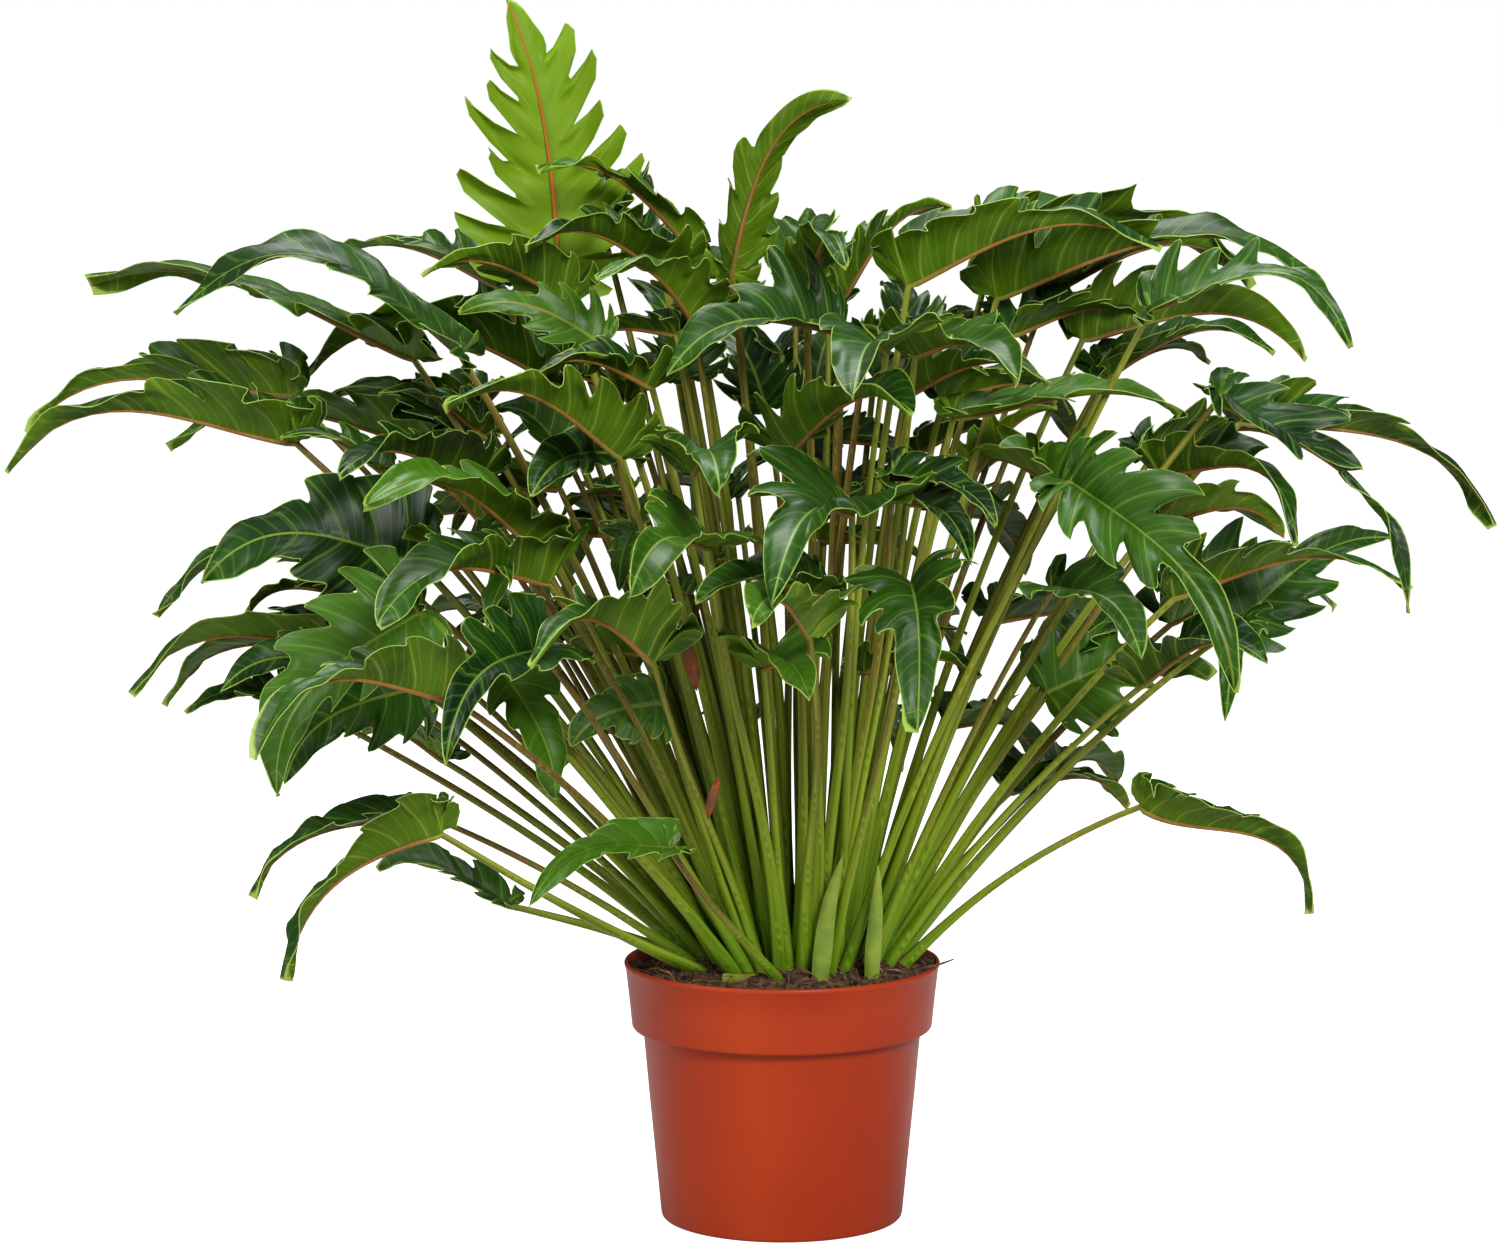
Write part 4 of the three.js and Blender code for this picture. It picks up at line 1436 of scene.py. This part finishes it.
@dataclass
class Litter:
    """Loose fibres, straw and crumbs on the peat."""

    peat: Peat
    fibres: int = 320
    straws: int = 26
    crumbs: int = 460
    seed: int = 11

    def spot(self, chance: random.Random, inside: float) -> Vector:
        """A random place on the peat.

        Args:
            chance: the litter's own chances.
            inside: largest distance from the pot's axis.

        Returns:
            The place.
        """
        bearing = chance.uniform(0, 2 * math.pi)
        radius = inside * math.sqrt(chance.uniform(0.05, 1.0))
        x, y = radius * math.cos(bearing), radius * math.sin(bearing)
        return Vector((x, y, self.peat.height_at(x, y)))

    def thread(self, bm: bmesh.types.BMesh, chance: random.Random, length: float, radius: float) -> None:
        """Adds one bent thread that lies on the peat.

        Args:
            bm: mesh that the thread goes into.
            chance: the litter's own chances.
            length: the thread's length.
            radius: its radius at the thick end.
        """
        start = self.spot(chance, self.peat.edge - 6 * MM)
        heading = chance.uniform(0, 2 * math.pi)
        bend = chance.uniform(-1.6, 1.6)
        lift = chance.uniform(0.0, 5.0) * MM
        points = []
        place = start.copy()
        for i in range(5):
            if math.hypot(place.x, place.y) > self.peat.edge - 3 * MM:
                break
            rise = lift * math.sin(math.pi * i / 4)
            ground = self.peat.height_at(place.x, place.y)
            points.append(Vector((place.x, place.y, ground + radius * 0.6 + rise)))
            angle = heading + bend * i / 4
            place += Vector((math.cos(angle), math.sin(angle), 0.0)) * length / 4
        if len(points) > 2:
            tube(bm, points, [radius * (1 - 0.12 * i) for i in range(len(points))], 5)

    def build(
        self, fibre: bpy.types.Material, straw: bpy.types.Material, crumb: bpy.types.Material
    ) -> list[bpy.types.Object]:
        """Builds the three kinds of litter.

        Args:
            fibre: material of the fibres.
            straw: material of the straws.
            crumb: material of the crumbs.

        Returns:
            The three pieces.
        """
        chance = random.Random(self.seed)
        fibres, straws, crumbs = bmesh.new(), bmesh.new(), bmesh.new()
        for _ in range(self.fibres):
            self.thread(fibres, chance, chance.uniform(7, 30) * MM, chance.uniform(0.25, 0.6) * MM)
        for _ in range(self.straws):
            self.thread(straws, chance, chance.uniform(4, 14) * MM, chance.uniform(0.4, 0.9) * MM)
        for _ in range(self.crumbs):
            size = chance.uniform(0.8, 3.2) * MM
            spot = self.spot(chance, self.peat.edge - 3 * MM) + Vector((0, 0, size * 0.3))
            turn = Matrix.Rotation(chance.uniform(0, 3), 4, "X")
            turn @= Matrix.Rotation(chance.uniform(0, 3), 4, "Z")
            stretch = Matrix.Diagonal((1.0, chance.uniform(0.5, 0.9), chance.uniform(0.4, 0.8), 1.0))
            where = Matrix.Translation(spot) @ turn @ stretch
            bmesh.ops.create_icosphere(crumbs, subdivisions=1, radius=size, matrix=where)
        made = []
        for name, bm, material in (
            ("look_fibres", fibres, fibre),
            ("look_straws", straws, straw),
            ("look_crumbs", crumbs, crumb),
        ):
            bmesh.ops.recalc_face_normals(bm, faces=bm.faces)
            made.append(finished_piece(name, bm, [material], "soil", (), 30.0))
        return made


@dataclass
class Husk:
    """A dried, curled remnant of a leaf sheath that clings to the petioles."""

    name: str
    place: Vector
    length: float
    width: float
    lean: float
    sheet: float = 0.4 * MM

    def build(self, material: bpy.types.Material) -> bpy.types.Object:
        """Builds the husk.

        Args:
            material: what it is made of.

        Returns:
            The piece.
        """
        bm = bmesh.new()
        seed = Vector((self.place.x * 90, self.place.z * 90, 0.0))

        def point(first: float, second: float) -> Vector:
            """Point of the curled strip.

            Args:
                first: share from -1 to 1 along the husk.
                second: share from -1 to 1 across it.

            Returns:
                The point.
            """
            wide = self.width / 2 * (1 - abs(first) ** 2.5)
            curl = 1.7 * second
            wave = 2.5 * MM * noise.noise(seed + Vector((first * 2.0, second * 1.3, 0.0)))
            x = wide * math.sin(curl) + self.lean * first * self.length / 2
            return self.place + Vector((x, -wide * math.cos(curl) + wave, first * self.length / 2))

        mapped_grid(bm, 14, 8, point)
        bmesh.ops.remove_doubles(bm, verts=bm.verts, dist=1e-6)
        bmesh.ops.recalc_face_normals(bm, faces=bm.faces)
        bmesh.ops.solidify(bm, geom=bm.faces[:], thickness=self.sheet)
        return finished_piece(self.name, bm, [material], "sheath")


@dataclass
class Studio:
    """Pale floor, soft light and the camera at the photographed angle."""

    floor_half: float = 60.0
    floor_lift: float = 1.0
    room: float = 0.10
    aim: Vector = field(default_factory=lambda: Vector((0.0, 0.0, 0.4)))

    def floor(self) -> None:
        """Lays the floor."""
        bm = bmesh.new()
        bmesh.ops.create_grid(bm, x_segments=1, y_segments=1, size=self.floor_half)
        mesh = bpy.data.meshes.new("floor")
        bm.to_mesh(mesh)
        bm.free()
        bench = NodeBench("floor_paint")
        seen = bench.add("ShaderNodeLightPath").outputs["Is Camera Ray"]
        lift = bench.math("MULTIPLY", seen, self.floor_lift)
        white = (1.0, 1.0, 1.0, 1.0)
        paint_of_floor = bench.finish(
            Base_Color=(0.55, 0.55, 0.55, 1.0), Roughness=1.0, Emission_Color=white, Emission_Strength=lift
        )
        mesh.materials.append(paint_of_floor)
        floor = bpy.data.objects.new("floor", mesh)
        bpy.context.scene.collection.objects.link(floor)

    def light(self, name: str, place: tuple, size: float, watts: float, gloss: float) -> None:
        """Hangs one square soft light.

        Args:
            name: the light's name.
            place: where it hangs, in metres.
            size: length of its side, in metres.
            watts: its power.
            gloss: how strongly it shows in glossy surfaces.
        """
        lamp = bpy.data.lights.new(name, "AREA")
        lamp.shape = "SQUARE"
        lamp.size = size
        lamp.energy = watts
        lamp.specular_factor = gloss
        holder = bpy.data.objects.new(name, lamp)
        holder.location = place
        holder.rotation_euler = (self.aim - Vector(place)).to_track_quat("-Z", "Y").to_euler()
        bpy.context.scene.collection.objects.link(holder)

    def surroundings(self) -> None:
        """Fills the room with even white light."""
        world = bpy.data.worlds.new("studio")
        world.use_nodes = True
        tree = world.node_tree
        background = tree.nodes["Background"]
        background.inputs["Color"].default_value = (1.0, 1.0, 1.0, 1.0)
        path = tree.nodes.new("ShaderNodeLightPath")
        strength = tree.nodes.new("ShaderNodeMapRange")
        strength.inputs["To Min"].default_value = self.room
        tree.links.new(path.outputs["Is Camera Ray"], strength.inputs["Value"])
        tree.links.new(strength.outputs[0], background.inputs["Strength"])
        bpy.context.scene.world = world

    def camera(self) -> None:
        """Sets the camera."""
        lens = bpy.data.cameras.new("camera")
        lens.lens = LENS_MM
        lens.sensor_width = SENSOR_MM
        lens.clip_end = 100.0
        camera = bpy.data.objects.new("camera", lens)
        camera.location = EYE
        camera.rotation_euler = (AIM - EYE).to_track_quat("-Z", "Y").to_euler()
        bpy.context.scene.collection.objects.link(camera)
        bpy.context.scene.camera = camera

    def build(self) -> None:
        """Builds the whole studio."""
        self.floor()
        self.surroundings()
        self.light("key", (1.1, -2.8, 2.1), 1.0, 112.0, 0.55)
        self.light("fill", (-2.4, -1.4, 1.8), 1.4, 42.0, 0.8)
        self.light("top", (0.0, 0.7, 3.0), 1.6, 85.0, 0.8)
        self.camera()
        scene = bpy.context.scene
        scene.view_settings.view_transform = "Standard"
        scene.view_settings.look = "None"


STICKS = (
    Stick(
        "look_cut_stub",
        "cut_stub",
        "stub",
        ((-38, -62, 172), (-25, -66, 172.4), (-12, -70, 173.4)),
        (3.6, 3.6, 3.3),
        ridge=0.04,
    ),
    Stick(
        "look_twig",
        "twig",
        "twig",
        ((80, -34, 168.4), (92, -33, 173.2), (103, -32, 175.6), (113, -31, 179)),
        (1.1, 0.9, 0.8, 0.5),
        sides=7,
        knots=0.25,
    ),
    Stick(
        "look_sheath_left",
        "sheath_left",
        "sheath",
        ((24, -80, 167), (26, -81, 190), (30, -83, 222), (36, -86, 246), (39, -87, 257)),
        (4.6, 6.0, 5.0, 2.6, 0.4),
        steps=20,
        sides=20,
        ridge=0.06,
        thinness=0.55,
    ),
    Stick(
        "look_sheath_right",
        "sheath_right",
        "sheath",
        ((58, -70, 167), (59, -72, 190), (61, -75, 218), (62, -77, 238), (62, -78, 250)),
        (4.0, 5.2, 4.2, 2.2, 0.4),
        steps=20,
        sides=20,
        ridge=0.06,
        thinness=0.55,
    ),
)


def main() -> None:
    """Builds the plant, its pot and the studio."""
    logging.basicConfig(level=logging.INFO, format="%(message)s")
    Pot().build(PotFinish().build())
    peat = PlainFinish("peat", paint(24, 13, 8), paint(104, 70, 46), 0.95, 260.0, 0.0012)
    ground = Peat()
    ground.build(peat.build())
    finishes = LeafFinishes.build()
    for name, row in FRAME_LEAVES.items():
        tone = tone_of(name)
        form = YOUNG_FORM if tone is Tone.YOUNG else BladeForm()
        Leaf(name, LeafPlace(*row), tone, finishes, name, form, CUTS.get(name, USUAL_CUT)).build()
    for name, row in MORE_LEAVES.items():
        Leaf(name, LeafPlace(*row), tone_of(name), finishes, cut=CUTS.get(name, USUAL_CUT)).build()
    far_leaves = {name: drawn_in(LeafPlace(*row)) for name, row in BACK_LEAVES.items()}
    for name, place in (core_leaves() | far_leaves).items():
        Leaf(name, place, Tone.OLD, finishes, columns=54, rows=10).build()
    fresh = PlainFinish("cut_green", paint(150, 160, 40), paint(176, 178, 74), 0.5, 160.0, 0.0002).build()
    wood = PlainFinish("twig_bark", paint(62, 40, 26), paint(104, 74, 48), 0.85, 260.0, 0.0004).build()
    dry = PlainFinish("dry_sheath", paint(90, 124, 22), paint(134, 150, 46), 0.5, 40.0, 0.0003).build()
    rust = PlainFinish("husk", paint(150, 70, 22), paint(96, 58, 24), 0.7, 120.0, 0.0004).build()
    fibre = PlainFinish("peat_fibre", paint(74, 46, 28), paint(132, 92, 60), 0.9, 200.0, 0.0002).build()
    straw = PlainFinish("straw", paint(168, 130, 78), paint(120, 84, 48), 0.8, 150.0, 0.0002).build()
    crumb = PlainFinish("peat_crumb", paint(38, 22, 14), paint(96, 64, 42), 0.95, 300.0, 0.0004).build()
    for stick, material in zip(STICKS, (fresh, wood, dry, dry)):
        stick.build(material)
    Litter(ground).build(fibre, straw, crumb)
    Husk("look_husk_high", seen_at(-60, 371, -150), 34 * MM, 9 * MM, -0.2).build(rust)
    Husk("look_husk_low", seen_at(-46, 282, -140), 26 * MM, 6 * MM, 0.25).build(rust)
    Studio().build()
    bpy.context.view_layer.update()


if __name__ == "__main__":
    main()
